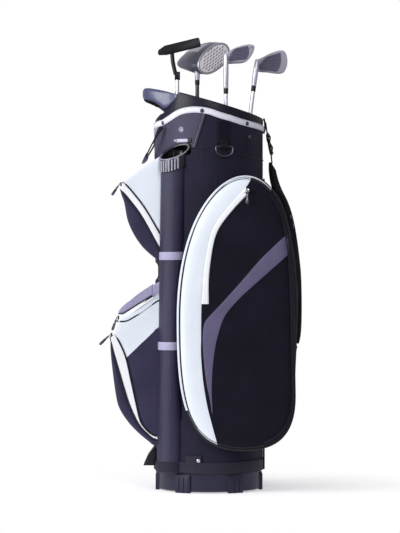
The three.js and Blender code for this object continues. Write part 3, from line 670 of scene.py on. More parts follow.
def make_shield(side):
    """The smooth satin panel round the front of the throat, cut round the putter tube's mouth."""
    def low(angle):
        y = -BODY_R * math.cos(math.radians(angle))
        top = eye_top(y, MOUTH_R + 0.9) if side > 0 else None
        return 737.2 + 20.2 * step(27, 70, angle) if top is None else top + 0.5

    cols, rows, reach, tall = 61, 22, 80, 70
    top, bottom = [], []
    for i in range(rows):
        t = i / (rows - 1)
        row_top, row_bottom = [], []
        for j in range(cols):
            s = j / (cols - 1)
            a = s * reach
            for _ in range(4):
                z = low(a) + (trim_z(a) - 5 - low(a)) * t
                a = s * seam_angle(z)
            edge = min(s * reach, (1 - s) * reach, t * tall, (1 - t) * tall)
            p = around(a, 1, z)
            puff = 1.6 * step(0, 3, edge) + 0.35 * wrinkle(p * 100, 45)
            row_top.append(around(side * a, BODY_R + 0.3 + puff * 0.7, z))
            row_bottom.append(around(side * a, BODY_R - 0.8, z))
        top.append(row_top)
        bottom.append(row_bottom)
    name = "right" if side > 0 else "left"
    piece(f"{name}_shield", slab(top, bottom), SATIN)
    outer = [row[-1] + OUT_Y * 0.9 for row in top]
    piece(f"{name}_shield_seam", tube(outer, 1.1, 8, outward), DARK_PIPING)
    inset = [around(side * (seam_angle(z) - 1.8), BODY_R + 1.5, z) for z in range(762, 832, 4)]
    sew(f"{name}_shield_stitches", [inset], outward, THREAD)


def make_throat_panel():
    """A pale crescent-shaped patch on the front of the throat, hanging from the trim."""
    reach, rows, cols = 25, 12, 33
    top, bottom = [], []
    for i in range(rows):
        row = []
        for j in range(cols):
            a = -reach + 2 * reach * j / (cols - 1)
            low = 771 + 37 * abs(a / reach) ** 1.3
            z = low + (trim_z(a) - 5 - low) * i / (rows - 1)
            row.append(around(a, BODY_R + 2.3 - 0.9 * abs(a / reach) ** 6, z))
        top.append(row)
        bottom.append([p - outward(p) * 1.6 for p in row])
    piece("throat_panel", slab(top, bottom), LID_GREY)
    edge = [p + outward(p) * 0.4 for p in top[0]]
    piece("throat_panel_seam", tube(edge, 0.8, 8, outward), DARK_PIPING)


def make_trim():
    line = [around(a, TRIM_R + 0.9, trim_z(a)) for a in range(0, 360, 2)]
    made = swept(line, upright(2.6, TRIM_HEIGHT, 16, 4), outward, closed=True)
    piece("trim_tape", made, TAPE, replaces=["trim_band"])
    rows = [[p + UP * d + outward(p) * 1.2 for p in line] for d in (4.9, -4.9)]
    sew("trim_stitches", rows, outward, closed=True)
    line = [around(a, BODY_R + 0.4, trim_z(a) + TRIM_HEIGHT / 2 + 0.6) for a in range(0, 360, 2)]
    piece("trim_edge", tube(line, 0.9, 8, outward, closed=True), DARK_PIPING)


def make_rim():
    """A rolled bead along the cuff's top edge, from one end of the handle round the back to the other."""
    line = []
    for a in range(56, 305, 3):
        line.append(around(a, BODY_R - 3.4, rim_z(-BODY_R * math.cos(math.radians(a))) - 0.6))
    piece("cuff_rim", swept(line, upright(6.6, 8.6, 14, 2.6), outward), CUFF)


HANDLE_OUTER = [(98, -71), (84, -87.5), (73, -104), (61, -122), (47, -138), (31, -146.5), (0, -149)]
HANDLE_INNER = [(88.5, -71), (74.5, -86), (63, -95), (52, -108), (40, -122), (26, -130), (0, -132)]
HANDLE_TOP = [(-149.5, 894.5), (-143, 896), (-126, 893), (-98, 886.5), (-72, 878.5)]
HANDLE_FOOT = [(-149.5, 876), (-146, 873.5), (-137, 868.5), (-120, 862), (-107, 853.5), (-98, 846.5),
               (-92, 848), (-82, 857), (-72, 868)]


def make_handle():
    ends = []
    for half_line in (HANDLE_OUTER, HANDLE_INNER):
        right = spline([(x, y, 0) for x, y in half_line], 22)
        ends.append(right + [Vector((-p.x, p.y, 0)) for p in right[-2::-1]])
    rings, under = [], []
    for out, inn in zip(*ends):
        middle, across = (out + inn) / 2, (out - inn) / 2
        high, low = table(HANDLE_TOP, middle.y), table(HANDLE_FOOT, middle.y)
        ring = []
        for a, b in oval(2, 2, 20, 3.2):
            tuck = 0.12 * max(0, -b) ** 2 * (1 if a > 0 else 0.4)
            ring.append(middle + across * (a * (1 - tuck)) + UP * ((high + low) / 2 + b * (high - low) / 2))
        rings.append(ring)
        under.append(middle + UP * (low + 0.5))
    piece("lift_handle", loft(rings), GLOSS, replaces=["cuff_handle"], sharp=70, subdivide=1)
    # A dark rubber strip along the handle's underside: painted shade where the underside turns away from the
    # light.
    piece("handle_underside_shade", swept(under[10:-10], oval(11, 3.4, 14, 3), UP), RUBBER)


def soft_copy(node, voxel, smooth, grow=0.0):
    """The CAD solid's shape, remeshed and smoothed as padding, as (vertices, faces) in millimetres."""
    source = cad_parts[node]
    ob = bpy.data.objects.new("soft", source.data.copy())
    bpy.context.scene.collection.objects.link(ob)
    weld = ob.modifiers.new("weld", "WELD")
    weld.merge_threshold = 0.00002
    remesh = ob.modifiers.new("voxels", "REMESH")
    remesh.mode = "VOXEL"
    remesh.voxel_size = voxel * MM
    rounding = ob.modifiers.new("round", "SMOOTH")
    rounding.iterations = smooth
    rounding.factor = 0.5
    made = ob.evaluated_get(bpy.context.evaluated_depsgraph_get()).to_mesh()
    verts = [(v.co + v.normal * grow * MM) / MM for v in made.vertices]
    faces = [tuple(f.vertices) for f in made.polygons]
    bpy.data.objects.remove(ob)
    return verts, faces


def make_dividers():
    grid = piece("padded_dividers", soft_copy("divider_grid", 2.6, 6, 0.4), SPACER,
                 replaces=["divider_grid"], sharp=180)
    for name, node in (("divider_front", "divider_sheet_front"), ("divider_middle", "divider_sheet_middle")):
        low, high = (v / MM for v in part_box(node))
        size = high - low
        xs = [low.x + size.x * i / 24 for i in range(25)]
        top = []
        for i in range(41):
            sway = 0.9 * math.sin(math.pi * i / 40)
            middle = (low.y + high.y) / 2 - 0.4
            top.append([Vector((x, middle + sway * math.sin(x / 26), low.z + size.z * i / 40)) for x in xs])
        bottom = [[p + OUT_Y * 0.8 for p in row] for row in top]
        cloth = piece(name, slab(top, bottom), BLACK, replaces=[node])


# ---- Putter tube -----------------------------------------------------------------------------------

def tube_ring(z, r, wobble=0.0):
    """A ring of points at one height round the putter tube's axis."""
    axis, count = tube_axis(z), 64
    ring = []
    for i in range(count):
        a = 2 * math.pi * i / count
        p = Vector((math.cos(a), math.sin(a), 0))
        lump = wobble * wrinkle(p * 31 + UP * z, 40, (1, 1, 0.25)) if wobble else 0
        ring.append(Vector((axis.x, axis.y, z)) + p * (r + lump))
    return ring


def tube_band(z, profile, inside):
    """A band round the putter tube, from (height, proud of the tube) pairs and its inner edges' heights."""
    rings = [tube_ring(z + dz, TUBE_R + proud) for dz, proud in profile]
    return loft(rings + [tube_ring(z + dz, TUBE_R - 0.4) for dz in inside], loop=True)


def make_tube():
    foot = TUBE_FOOT.z
    heights = [foot + (TUBE_TOP - foot) * i / 90 for i in range(91)]
    outer = [tube_ring(foot, TUBE_R - 2), tube_ring(foot + 0.6, TUBE_R - 0.6)]
    outer += [tube_ring(z, TUBE_R - 0.1, 0.25) for z in heights[1:]]
    inner = [tube_ring(z, TUBE_R - 2.6) for z in heights[::-6]] + [tube_ring(50, TUBE_R - 3)]
    piece("tube_sleeve", loft(outer + inner), SLEEVE, replaces=["putter_tube"])
    profile = [(-9, 0.1), (-8.6, 0.7), (-7, 0.95), (0, 1.0), (7, 0.95), (8.6, 0.7), (9, 0.1)]
    for name, z in (("upper", 521), ("lower", 323)):
        made = tube_band(z, profile, (9, -9))
        piece(f"tube_strap_{name}", made, STRAP_GREY, replaces=[f"tube_band_{name}"])
        sew(f"tube_strap_{name}_stitches", [tube_ring(z + dz, TUBE_R + 0.95) for dz in (-6, 6)],
            lambda p: p - tube_axis(p.z), THREAD, closed=True)
    made = tube_band(0, [(45.5, 0.2), (46.5, 2.2), (58, 2.6), (67.5, 2.2), (68.5, 0.4)], (68.5, 45.5))
    piece("tube_foot_band", made, BAND)

    ribs = []
    for i in range(16):
        a = math.radians(13 - 11.4 * i)
        out = Vector((math.cos(a), math.sin(a), 0))
        foot = mouth_z(out.x * MOUTH_R, out.y * MOUTH_R) - MOUTH_HEIGHT
        line = [tube_axis(foot + t * MOUTH_HEIGHT) + out * (MOUTH_R - 0.1 + 0.5 * math.sin(math.pi * t))
                for t in (0.03, 0.1, 0.3, 0.5, 0.7, 0.86, 0.93)]
        if math.hypot(line[3].x, line[3].y) > BODY_R:
            ribs.append(swept(line, oval(3.9, 3.0, 12, 2.4), out))
    piece("mouth_ribs", joined(*ribs), SILVER)
    lip = []
    for i in range(60):
        a = math.radians(6 * i)
        p = Vector((math.cos(a), math.sin(a), 0)) * (MOUTH_R - 1.6)
        lip.append(tube_axis(mouth_z(p.x, p.y)) + p)
    outside = [p for p in lip if math.hypot(p.x, p.y) > BODY_R - 1]
    start = max(range(len(outside)), key=lambda i: (outside[i] - outside[i - 1]).length)
    outside = outside[start:] + outside[:start]
    piece("mouth_lip", tube(spline(outside, 60), 1.9, 10, UP), SILVER)


# ---- Badges, plate, snaps, towel ring ---------------------------------------------------------------

def facing(y, z, r=BODY_R, side=1):
    """A matrix whose Z points straight out of the bag's side at that y and height."""
    angle = math.degrees(math.asin(y / r))
    spin = Matrix.Rotation(math.radians(angle if side > 0 else 180 - angle), 4, "Z")
    return spin @ Matrix.Translation((r, 0, z)) @ Matrix.Rotation(math.radians(90), 4, "Y")


def make_fittings():
    """Turned badges and snaps, and the plate with its knob, standing on the throat and the trim."""
    badge = [(0, 0.4), (5.9, 0.4), (6.2, 1.2), (5.8, 2.2), (4.7, 2.3), (4.2, 1.4), (2.6, 1.3), (2.2, 2.0),
             (0, 2.2)]
    piece("throat_badge", lathe(badge, 40, facing(-60.8, 799)), BADGE, replaces=["front_badge"])
    made = lathe([(0, 0.2), (5.4, 0.2), (5.4, 1.3), (4.8, 1.8), (0, 1.8)], 6, facing(89, 784))
    piece("rear_badge", made, GUN, sharp=30)
    line = [around(a, BODY_R + 1.6, PLATE_Z) for a in (50.6, 54, 58, 62, 66, 68.2)]
    piece("plate", swept(line, upright(2.2, 8.6, 16, 5), outward), BADGE, replaces=["name_plate"])
    knob = [(0, 0.2), (5.0, 0.4), (5.2, 2.0), (4.2, 3.3), (2.2, 3.9), (0, 4.0)]
    piece("plate_knob", lathe(knob, 32, facing(-73.6, PLATE_Z)), BADGE)
    line = [around(a, BODY_R + 2.1, PLATE_Z) for a in (67.6, 69.5, 71.4)]
    piece("plate_cap", swept(line, upright(3.4, 9.6, 16, 4), outward), DARK)
    snap = [(0, 0.3), (4.4, 0.3), (4.6, 1.0), (4.0, 1.7), (2.9, 1.9), (2.5, 1.3), (1.3, 1.3), (1.0, 1.8),
            (0, 1.9)]
    for name, y, z in (("front", -102, 815), ("middle", -15.8, 839), ("rear", 83.3, 812.5)):
        for side, label in ((1, ""), (-1, "_left")):
            made = lathe(snap, 28, facing(y, z, TRIM_R + 2.0, side))
            piece(f"snap_{name}{label}", made, GUN,
                  replaces=[f"hood_snap_{name}"] if side > 0 else [])


TOWEL_TURN, TOWEL_R, TOWEL_Z = 105.07, 128.5, 760.0


def make_towel_ring():
    """A patch on the throat, a webbing sling hanging from it and the metal ring in the sling."""
    spin = Matrix.Rotation(math.radians(TOWEL_TURN - 90), 4, "Z")
    rows, cols, wide, tall = 24, 13, 32, 48
    top = []
    for i in range(rows):
        t = i / (rows - 1)
        row = []
        for j in range(cols):
            s = j / (cols - 1)
            edge = min(s * wide, (1 - s) * wide, t * tall, (1 - t) * tall)
            row.append(around(TOWEL_TURN - 7.6 + 15.2 * s, BODY_R + 0.8 + 1.2 * step(0, 2.5, edge),
                              766 + 57 * t))
        top.append(row)
    bottom = [[outward(p) * (BODY_R + 0.1) + UP * p.z for p in row] for row in top]
    piece("towel_patch", slab(top, bottom), BLACK, replaces=["towel_tab"])
    inset = [top[i][j] for i, j in ((2, 1), (12, 1), (21, 1), (21, 6), (21, 11), (12, 11), (2, 11), (2, 6),
                                    (2, 1))]
    sew("towel_patch_stitches", [even(inset, 120)], outward)

    bend = [math.radians(150 - 20 * k) for k in range(17)]
    sling = [Vector((BODY_R + 1.4, 0, 776)), Vector((BODY_R + 2.6, 0, 768))]
    sling += [Vector((TOWEL_R + 4.0 * math.cos(a), 0, TOWEL_Z + 4.0 * math.sin(a))) for a in bend]
    sling.append(Vector((BODY_R + 1.2, 0, 768)))
    rings = []
    for i, p in enumerate(sling):
        along = (sling[min(i + 1, len(sling) - 1)] - sling[max(i - 1, 0)]).normalized()
        up = along.cross(OUT_Y)
        rings.append([p + OUT_Y * a + up * b for a, b in oval(20, 1.4, 10, 5)])
    piece("towel_sling", moved(loft(rings), spin), WEB)

    half, drop = 19.0, 13.65
    bow = [(half * math.cos(a), TOWEL_Z - 7 + drop * math.sin(a))
           for a in (math.pi + math.pi * i / 16 for i in range(17))]
    ends = [(half - 3, TOWEL_Z), (3 - half, TOWEL_Z), (-half, TOWEL_Z - 3)]
    ring = [Vector((TOWEL_R, y, z)) for y, z in ends + bow + [(half, TOWEL_Z - 3)]]
    made = moved(tube(spline(ring, 90, closed=True), 2.1, 12, OUT_X, closed=True), spin)
    piece("towel_loop_ring", made, GUN, body="towel_loop", replaces=["towel_ring"], sharp=180)


# ---- Side pockets -----------------------------------------------------------------------------------

# Each curve of a side pocket's seam as four (y, z) control points, and places along it.
SEAM_CURVES = [((78, 693), (18, 693), (-67, 594), (-67, 384)),
               ((-67, 384), (-67, 199), (-48, 101), (72, 100)),
               ((72, 100), (150, 100), (187, 134), (185, 224)),
               ((185, 224), (182, 384), (184, 544), (160, 616)),
               ((160, 616), (142, 666), (112, 693), (78, 693))]
TOP_FRONT, TOP_REAR, LOW_FRONT, LOW_REAR = (88, 683), (139, 664), (-54, 183), (120, 104)


def pocket_seam(count=220):
    line = []
    for curve in SEAM_CURVES:
        line += bezier(*curve)
    return even(line + line[:1], count, closed=True)


SEAM = pocket_seam()
SEAM_POLAR = sorted((math.atan2(away.y, away.x), away.length) for away in (p - PANEL_MIDDLE for p in SEAM))


def panel_share(y, z):
    """0 at the panel's middle, 1 on its seam."""
    away = Vector((y, z)) - PANEL_MIDDLE
    angle = math.atan2(away.y, away.x)
    last = SEAM_POLAR[-1]
    before = (last[0] - 2 * math.pi, last[1])
    for here in SEAM_POLAR + [(SEAM_POLAR[0][0] + 2 * math.pi, SEAM_POLAR[0][1])]:
        if here[0] >= angle:
            t = (angle - before[0]) / max(here[0] - before[0], 1e-9)
            return away.length / (before[1] + (here[1] - before[1]) * t)
        before = here
    return away.length / last[1]


def panel_x(y, z):
    s = min(panel_share(y, z), 1)
    crown = (PANEL_X - SEAM_X) * math.sqrt(max(0, 1 - s ** 18)) + 2.2 * (1 - s * s)
    ripple = 0.9 * wrinkle(Vector((0, y, z)), 90) + 0.35 * wrinkle(Vector((9, y, z)), 34)
    return SEAM_X + crown + ripple * (1 - s ** 8)


def on_panel(p, lift=0.0):
    return Vector((panel_x(p[0], p[1]) + lift, p[0], p[1]))


def panel_normal(p):
    d = 1.5
    dy = (panel_x(p[1] + d, p[2]) - panel_x(p[1] - d, p[2])) / (2 * d)
    dz = (panel_x(p[1], p[2] + d) - panel_x(p[1], p[2] - d)) / (2 * d)
    return Vector((1, -dy, -dz)).normalized()


def seam_run(start, end, share=1.0, count=160):
    """Points of the seam, pulled towards the middle by share, from near one point on to near another."""

    def near(q):
        return min(range(len(SEAM)), key=lambda i: (SEAM[i] - Vector(q)).length)

    i, j = near(start), near(end)
    if j <= i:
        j += len(SEAM)
    line = [SEAM[k % len(SEAM)] for k in range(i, j + 1)]
    return even([PANEL_MIDDLE + (p - PANEL_MIDDLE) * share for p in line], count)


def patch(left, right, lift, cols=9):
    """A thin sheet on the side pocket's panel between two lines of (y, z) of the same count."""
    top, bottom = [], []
    for a, b in zip(left, right):
        width = (b - a).length
        row_top, row_bottom = [], []
        for j in range(cols):
            p = a.lerp(b, j / (cols - 1))
            edge = min(j, cols - 1 - j) / (cols - 1) * width
            row_top.append(on_panel(p, lift * (0.45 + 0.55 * step(0, 1.6, edge))))
            row_bottom.append(on_panel(p, -0.8))
        top.append(row_top)
        bottom.append(row_bottom)
    return slab(top, bottom)


CRESCENT_INNER = [(17.7, 111), (6, 154), (-5, 198), (-13.7, 252), (-18, 306), (-18, 339), (-16.9, 419),
                  (-11.5, 480), (-5, 527), (6, 573), (21, 601), (47, 633.5), (79.5, 670), (88, 683)]
GUARD_INNER = [(-16.9, 416.7), (-11.5, 480), (-5, 527), (6, 573), (21, 601), (47, 633.5), (79.5, 670.4)]
GUARD_OUTER = [(-1.3, 416.7), (-0.7, 473), (5.2, 525), (13.4, 562.6), (27.5, 590.8), (55.7, 625.9),
               (79.5, 651)]
STRIPE_UPPER = [(170.5, 570), (114, 516.4), (66.5, 462), (27.5, 419), (-3, 386.4), (-10.4, 375), (-13.9, 355),
                (-13.7, 317), (-7.2, 252), (1.5, 208.6), (5.8, 180)]
STRIPE_LOWER = [(172.5, 525), (114, 473), (66.5, 429.7), (34, 390.7), (18.8, 349.5), (11.2, 312.6),
                (6.9, 273.6), (5.6, 240), (5.4, 219.4), (6.4, 196), (7.2, 178)]


def back_x(y, z):
    """Where the pocket's gusset meets the body, the putter tube or the open back."""
    x = 62.0
    if abs(y) < BODY_R + 0.6:
        x = max(x, math.sqrt((BODY_R + 0.6) ** 2 - y * y))
    axis = tube_axis(z)
    reach = TUBE_R + 1.4
    if abs(y - axis.y) < reach:
        x = max(x, axis.x + math.sqrt(reach ** 2 - (y - axis.y) ** 2))
    return x


# How far the gusset swells outwards from the seam to the body, and the panel's rings from its middle out.
BULGE = [(0, 0), (0.14, 7.7), (0.5, 13), (0.86, 1), (1, -14)]
PANEL_RINGS = [0.02, 0.2, 0.4, 0.58, 0.72, 0.82, 0.88, 0.915, 0.94, 0.96, 0.975, 0.987, 0.995, 1.0]
GUSSET_RINGS = 14


def shrunk(line, share):
    """A line of (y, z) pulled towards the panel's middle."""
    return [PANEL_MIDDLE + (p - PANEL_MIDDLE) * share for p in line]


def pocket_skin():
    """The whole skin of a side pocket: the crowned panel, the puffed gusset and the back against the body."""
    rings = [[on_panel(p) for p in shrunk(SEAM, s)] for s in PANEL_RINGS]
    for k in range(1, GUSSET_RINGS + 1):
        t = k / GUSSET_RINGS
        ring = []
        for p in SEAM:
            away = (p - PANEL_MIDDLE).normalized()
            full = 0.6 + 0.75 * step(250, 560, p.y)
            out = table(BULGE, t) * (max(0, away.x) + 0.25 * abs(away.y)) * (full if t < 0.9 else 1)
            q = p + away * out
            x = SEAM_X + (back_x(q.x, q.y) - SEAM_X) * t
            spot = Vector((x, q.x, q.y))
            sag = 1.3 * wrinkle(spot, 42) + 0.6 * wrinkle(spot, 17)
            q = q + away * sag * math.sin(math.pi * t)
            ring.append(Vector((x, q.x, q.y)))
        rings.append(ring)
    last = [p.yz for p in rings[-1]]
    for s in (0.9, 0.7, 0.45, 0.2, 0.02):
        rings.append([Vector((back_x(*q), *q)) for q in shrunk(last, s)])
    return loft(rings)


def make_side_pocket(prefix, turn_over):
    def add(name, made, material, slot, replaces=(), sharp=40):
        piece(f"{prefix}_{name}", turn_over(made), material, replaces=replaces, sharp=sharp)

    def lean(p):
        return Vector((1.2, p[1] - PANEL_MIDDLE.x, p[2] - PANEL_MIDDLE.y)).normalized() * 0.75 + OUT_X

    add("pocket_skin", pocket_skin(), BLACK, "black_fabric", [f"{prefix}_pocket"], 50)
    outer = seam_run(TOP_FRONT, (17.7, 101), 0.997, 110)[::-1]
    made = patch(outer, spline(CRESCENT_INNER, 110), 1.0, 11)
    add("crescent", made, WHITE, "white_fabric", [f"{prefix}_pocket_panel"], 50)
    add("zip_guard", patch(spline(GUARD_INNER, 60), spline(GUARD_OUTER, 60), 2.6), GUARD, "white_fabric",
        sharp=50)
    made = patch(spline(STRIPE_UPPER, 90), spline(STRIPE_LOWER, 90), 1.0)
    add("stripe", made, GREY, "grey_fabric", sharp=50)

    run = [Vector((SEAM_X + 0.6, *p)) for p in seam_run(TOP_REAR, LOW_FRONT, 1.004, 190)]
    rings = []
    for i, (p, _, up, side) in enumerate(frames(run, lean)):
        wide = 2.6 + 4.8 * step(0, 70, i) - 0.5 * step(175, 189, i)
        rings.append([p + side * a + up * b for a, b in oval(wide, 4.6, 12, 2.4)])
    add("piping", loft(rings), PIPING, "white_fabric")
    line = [Vector((SEAM_X + 0.4, *p)) for p in seam_run(LOW_FRONT, TOP_REAR, 1.004, 150)]
    add("piping_dark", swept(line, oval(6.0, 4.2, 10, 2.4), lean), DARK_PIPING, "black_fabric")
    loop = [on_panel(p, 0.9) for p in seam_run(LOW_REAR, TOP_REAR, 0.963, 260)]
    add("zip", zip_teeth(loop, panel_normal, width=2.6), ZIP, "dark_plastic")
    line = [on_panel(p, 0.4) for p in seam_run(TOP_REAR, LOW_REAR, 0.985, 160)]
    add("panel_seam", tube(line, 1.2, 8, OUT_X), DARK_PIPING, "black_fabric")


# ---- Front pockets -----------------------------------------------------------------------------------

def rounded(width, height, r):
    """A rounded rectangle of (across, up), with the same number of points whatever its size."""
    long, short, corner = 14, 8, 5
    r = min(r, width * 0.49, height * 0.49)
    w, h = width / 2 - r, height / 2 - r
    out = []
    for cx, cy, start, span, dx, dy in ((w, h, 0, long, -1, 0), (-w, h, 90, short, 0, -1),
                                        (-w, -h, 180, long, 1, 0), (w, -h, 270, short, 0, 1)):
        for k in range(corner):
            a = math.radians(start + 90 * k / (corner - 1))
            out.append((cx + r * math.cos(a), cy + r * math.sin(a)))
        reach = 2 * w if dx else 2 * h
        beside = (0 if dx else math.copysign(r, cx), 0 if dy else math.copysign(r, cy))
        for k in range(1, span + 1):
            t = reach * k / (span + 1)
            out.append((cx + dx * t + beside[0], cy + dy * t + beside[1]))
    return out


def panel_block(near, far, half, r, count=40, puff=0.0, nose=0.0, clear=True):
    """A stitched panel that spans x from -half to half, between two lines of (y, z) of its outline.

    It swells sideways by puff and towards its near line by nose; clear keeps it out of the bag's inside."""
    rings = []
    for a, b in zip(side_line(near, count), side_line(far, count)):
        deep = max((b - a).length, 0.6)
        up = (b - a).normalized()
        ring = []
        for across, along in rounded(2 * half, deep, r):
            s, q = along / deep * 2, across / half
            sag = wrinkle(Vector((across, *a.yz)) + up * along, 48)
            out = across
            if abs(q) > 0.96:
                out += math.copysign(puff * (1 - s * s) + 0.8 * sag * (1 - s ** 4), across)
            lift = along - (nose * (1 - q * q) * abs(s) ** 3 if s < 0 else 0) + 0.5 * sag * (1 - s * s)
            p = (a + b) / 2 + up * lift
            p.x = out
            if clear:
                p.y = body_front(p.x, p.y, p.z)
            ring.append(p)
        rings.append(ring)
    return loft(rings)


def round_front(line, half, lift=0.0, clear=True):
    """A line of (y, z) from the back to the front, run along the +X side, over the front and back."""
    pts = side_line(line, 40)
    front = pts[-1]
    right = [Vector((half + lift, p.y, p.z)) for p in pts[:-2]]
    shares = (0.97, 0.9, 0.8, 0.6, 0.4, 0.2, 0, -0.2, -0.4, -0.6, -0.8, -0.9, -0.97)
    over = [Vector((half * c, front.y - lift - 1.5 * (1 - c ** 4), front.z)) for c in shares]
    path = right + over + [Vector((-p.x, p.y, p.z)) for p in right[::-1]]
    if clear:
        path = [p for p in path if body_front(p.x, p.y, p.z) >= p.y - 0.01]
    return even(path, 260)


UPPER_HALF, BALL_HALF, LID_HALF = 72.0, 82.0, 74.0
UPPER_ZIP = [(-94, 544.5), (-112, 576.5), (-142.6, 628), (-168, 661), (-182, 677), (-188.8, 684.2)]
UPPER_STRIP = [(-94, 508.9), (-112, 543.3), (-148.4, 609), (-172, 641), (-188, 660), (-195.4, 668)]
BALL_INNER = [(-88, 121.5), (-117, 124), (-130.5, 130.7), (-143.7, 144), (-152.5, 159.4), (-161.4, 197),
              (-172.4, 247.6), (-183.4, 296), (-198, 331), (-208.5, 348)]
BALL_OUTER = [(-88, 114.6), (-119.5, 117.5), (-135, 128.5), (-150.3, 144), (-163.6, 166), (-179, 203.5),
              (-199, 269.7), (-214, 322), (-217.6, 341)]


# Outlines of the front pockets' panels in (y, z).
UPPER_ROOF = [(-94, 741.3), (-108, 741), (-143, 720), (-172, 698.5), (-183, 690), (-189.4, 685.2)]
UPPER_FRONT = [(-94, 509.5), (-114, 515.5), (-145, 542), (-166, 572), (-179.5, 603), (-187, 641),
               (-193.6, 660), (-196, 667)]
BALL_WALL_Y = -88
SHELF_TOP = [(-88, 471), (-100, 468), (-113, 463), (-125.2, 456)]
COLLAR_TOP = [(-88, 441.5), (-100, 439.4), (-124, 431), (-150, 414), (-180, 395.6), (-193, 387.4),
              (-199.5, 381)]
COLLAR_FOOT = [(-88, 430), (-112.5, 422.6), (-146, 399), (-170, 384), (-184, 377.4), (-202, 376.6)]
BALL_FRONT = [(-88, 102), (-118, 102), (-132, 111), (-160, 135), (-182, 160), (-198, 187), (-205, 215),
              (-213, 274), (-217, 314), (-218, 339)]
LID_TOP = [(-126, 457), (-145, 445), (-160, 434.5), (-176, 421.5), (-190, 410.5), (-199.5, 400.6)]
LID_UNDER = [(-126, 432), (-145, 420.2), (-160, 410.9), (-176, 400.9), (-190, 392.4), (-199.8, 392.6)]
LID_EDGE = [(-127, 433.6), (-145, 422.2), (-160, 413), (-176, 403), (-190, 394.4), (-199.2, 393.6)]
LID_SEAM = [(-128, 453.4), (-145, 442), (-160, 431.5), (-176, 418.5), (-190, 407.5), (-199, 399)]


def blended_normal(half):
    def normal(p):
        share = step(0.86, 1.0, abs(p.x) / half)
        return Vector((math.copysign(share, p.x), -(1 - share), 0.2 * (1 - share) + 0.02))
    return normal


def add_panel(name, near, far, half, r, material, slot, replaces=(), body="bag", **shape):
    piece(name, panel_block(near, far, half, r, **shape), material, body=body, replaces=replaces,
          sharp=50)


def add_zip(name, line, half, lift, width):
    made = zip_teeth(round_front(line, half, lift), blended_normal(half), width=width)
    piece(name, made, ZIP)


def add_piping(name, line, half, lift, radius=1.2, body="bag", clear=True):
    made = tube(round_front(line, half, lift, clear), radius, 8, blended_normal(half))
    piece(name, made, DARK_PIPING, body=body)


def make_upper_pocket():
    half = UPPER_HALF
    add_panel("upper_pocket_roof", UPPER_ROOF, UPPER_ZIP, half, 3.0, WHITE, "white_fabric", ["upper_pocket"],
              puff=0.8, nose=1.5)
    add_panel("upper_pocket_strip", UPPER_ZIP, UPPER_STRIP, half + 0.4, 2.2, GUARD, "white_fabric", puff=0.6)
    add_panel("upper_pocket_front", UPPER_FRONT, UPPER_STRIP, half - 1.2, 6.0, KEY_LIT_POUCH, "black_fabric",
              puff=1.6, nose=3.0)
    add_zip("upper_pocket_zip", UPPER_ZIP, half, 0.9, 2.4)
    add_piping("upper_pocket_piping", UPPER_STRIP, half, 0.5)


def make_ball_pocket():
    half, wall = BALL_HALF, BALL_WALL_Y
    add_panel("ball_pocket_shelf", SHELF_TOP, [(wall, 442), (-100, 440), (-125.2, 431.6)], half, 3.0,
              LID_GREY, "grey_fabric", count=14)
    add_panel("ball_pocket_collar", COLLAR_TOP, COLLAR_FOOT, half - 0.6, 2.4, GUARD, "white_fabric",
              nose=-0.5)
    edge = [(-201.6, 376), (-207, 362), (-212, 348), (-208, 346), (-198, 330), (-183.4, 296)]
    back = [(wall, z) for z in (442, 434, 420, 410, 400, 387)]
    add_panel("ball_pocket_side", edge, back, half, 3.0, WHITE, "white_fabric", puff=0.8)
    back = [(wall, z) for z in (387, 340, 290, 240, 200, 170, 145, 122)]
    add_panel("ball_pocket_lower", BALL_INNER[7:0:-1] + [(-100, 121.5)], back, half - 0.3, 3.0, KEY_LIT_POUCH,
              "black_fabric", ["ball_pocket"], puff=1.2)
    add_panel("ball_pocket_strip", BALL_OUTER, BALL_INNER, half + 0.6, 2.2, GUARD, "white_fabric")
    add_panel("ball_pocket_front", BALL_FRONT, BALL_OUTER, half - 1.0, 8.0, KEY_LIT_POUCH, "black_fabric",
              puff=1.5, nose=4.0)
    add_zip("ball_pocket_zip", BALL_INNER, half, 1.0, 2.4)
    add_piping("ball_pocket_piping", BALL_OUTER, half, 0.8)
    add_zip("collar_zip", COLLAR_FOOT, half, 0.5, 2.2)

    add_panel("lid_cover", LID_TOP, LID_UNDER, LID_HALF, 5.0, LID_GREY, "grey_fabric", ["cooler_lid"],
              body="lid", puff=0.4, nose=1.2, clear=False)
    add_piping("lid_piping", LID_EDGE, LID_HALF, 0.6, 1.3, body="lid", clear=False)
    line = round_front(LID_SEAM, LID_HALF, 0.3, clear=False)
    sew("lid_stitches", [line], blended_normal(LID_HALF), body="lid")


# ---- Zip sliders and pulls ---------------------------------------------------------------------------

def make_pull(node, body, eye, angle, swing, length, material, twist=0):
    """A pull hanging from its eye: a wire link and a twisted tab with a pinched waist and a grip end."""
    place = turn(eye, 0, -swing, angle)
    turns = [2 * math.pi * i / 20 for i in range(20)]
    link = [Vector((0, 2.3 * math.sin(a), -1.4 + 2.9 * math.cos(a))) for a in turns]
    parts = [tube(link, 0.75, 8, OUT_X, closed=True)]
    shape = [(3.0, 2.2, 1.2), (4.2, 3.4, 1.5), (6, 4.6, 1.7), (9, 3.6, 1.6), (13, 3.2, 1.6), (15, 4.6, 2.2),
             (length - 8, 5.0, 2.6), (length - 3, 5.2, 2.6), (length - 1, 4.2, 2.0), (length, 2.4, 1.0)]
    parts.append(loft([[Vector((b, a, -down)) for a, b in oval(1.25 * wide, 1.2 * thick, 16, 3)]
                       for down, wide, thick in shape]))
    for down in range(length - 10, length - 2, 2):
        for x in (1.5, -1.5):
            rib = [Vector((x, y, -down)) for y in (-2.2, -1, 0, 1, 2.2)]
            parts.append(swept(rib, oval(0.7, 0.6, 6), UP))
    spun = moved(joined(*parts), lambda v: turn(z=twist * step(3, 9, -v.z)) @ v)
    piece(f"{node}_tab", moved(spun, place), material, body=body, replaces=[node], sharp=50)


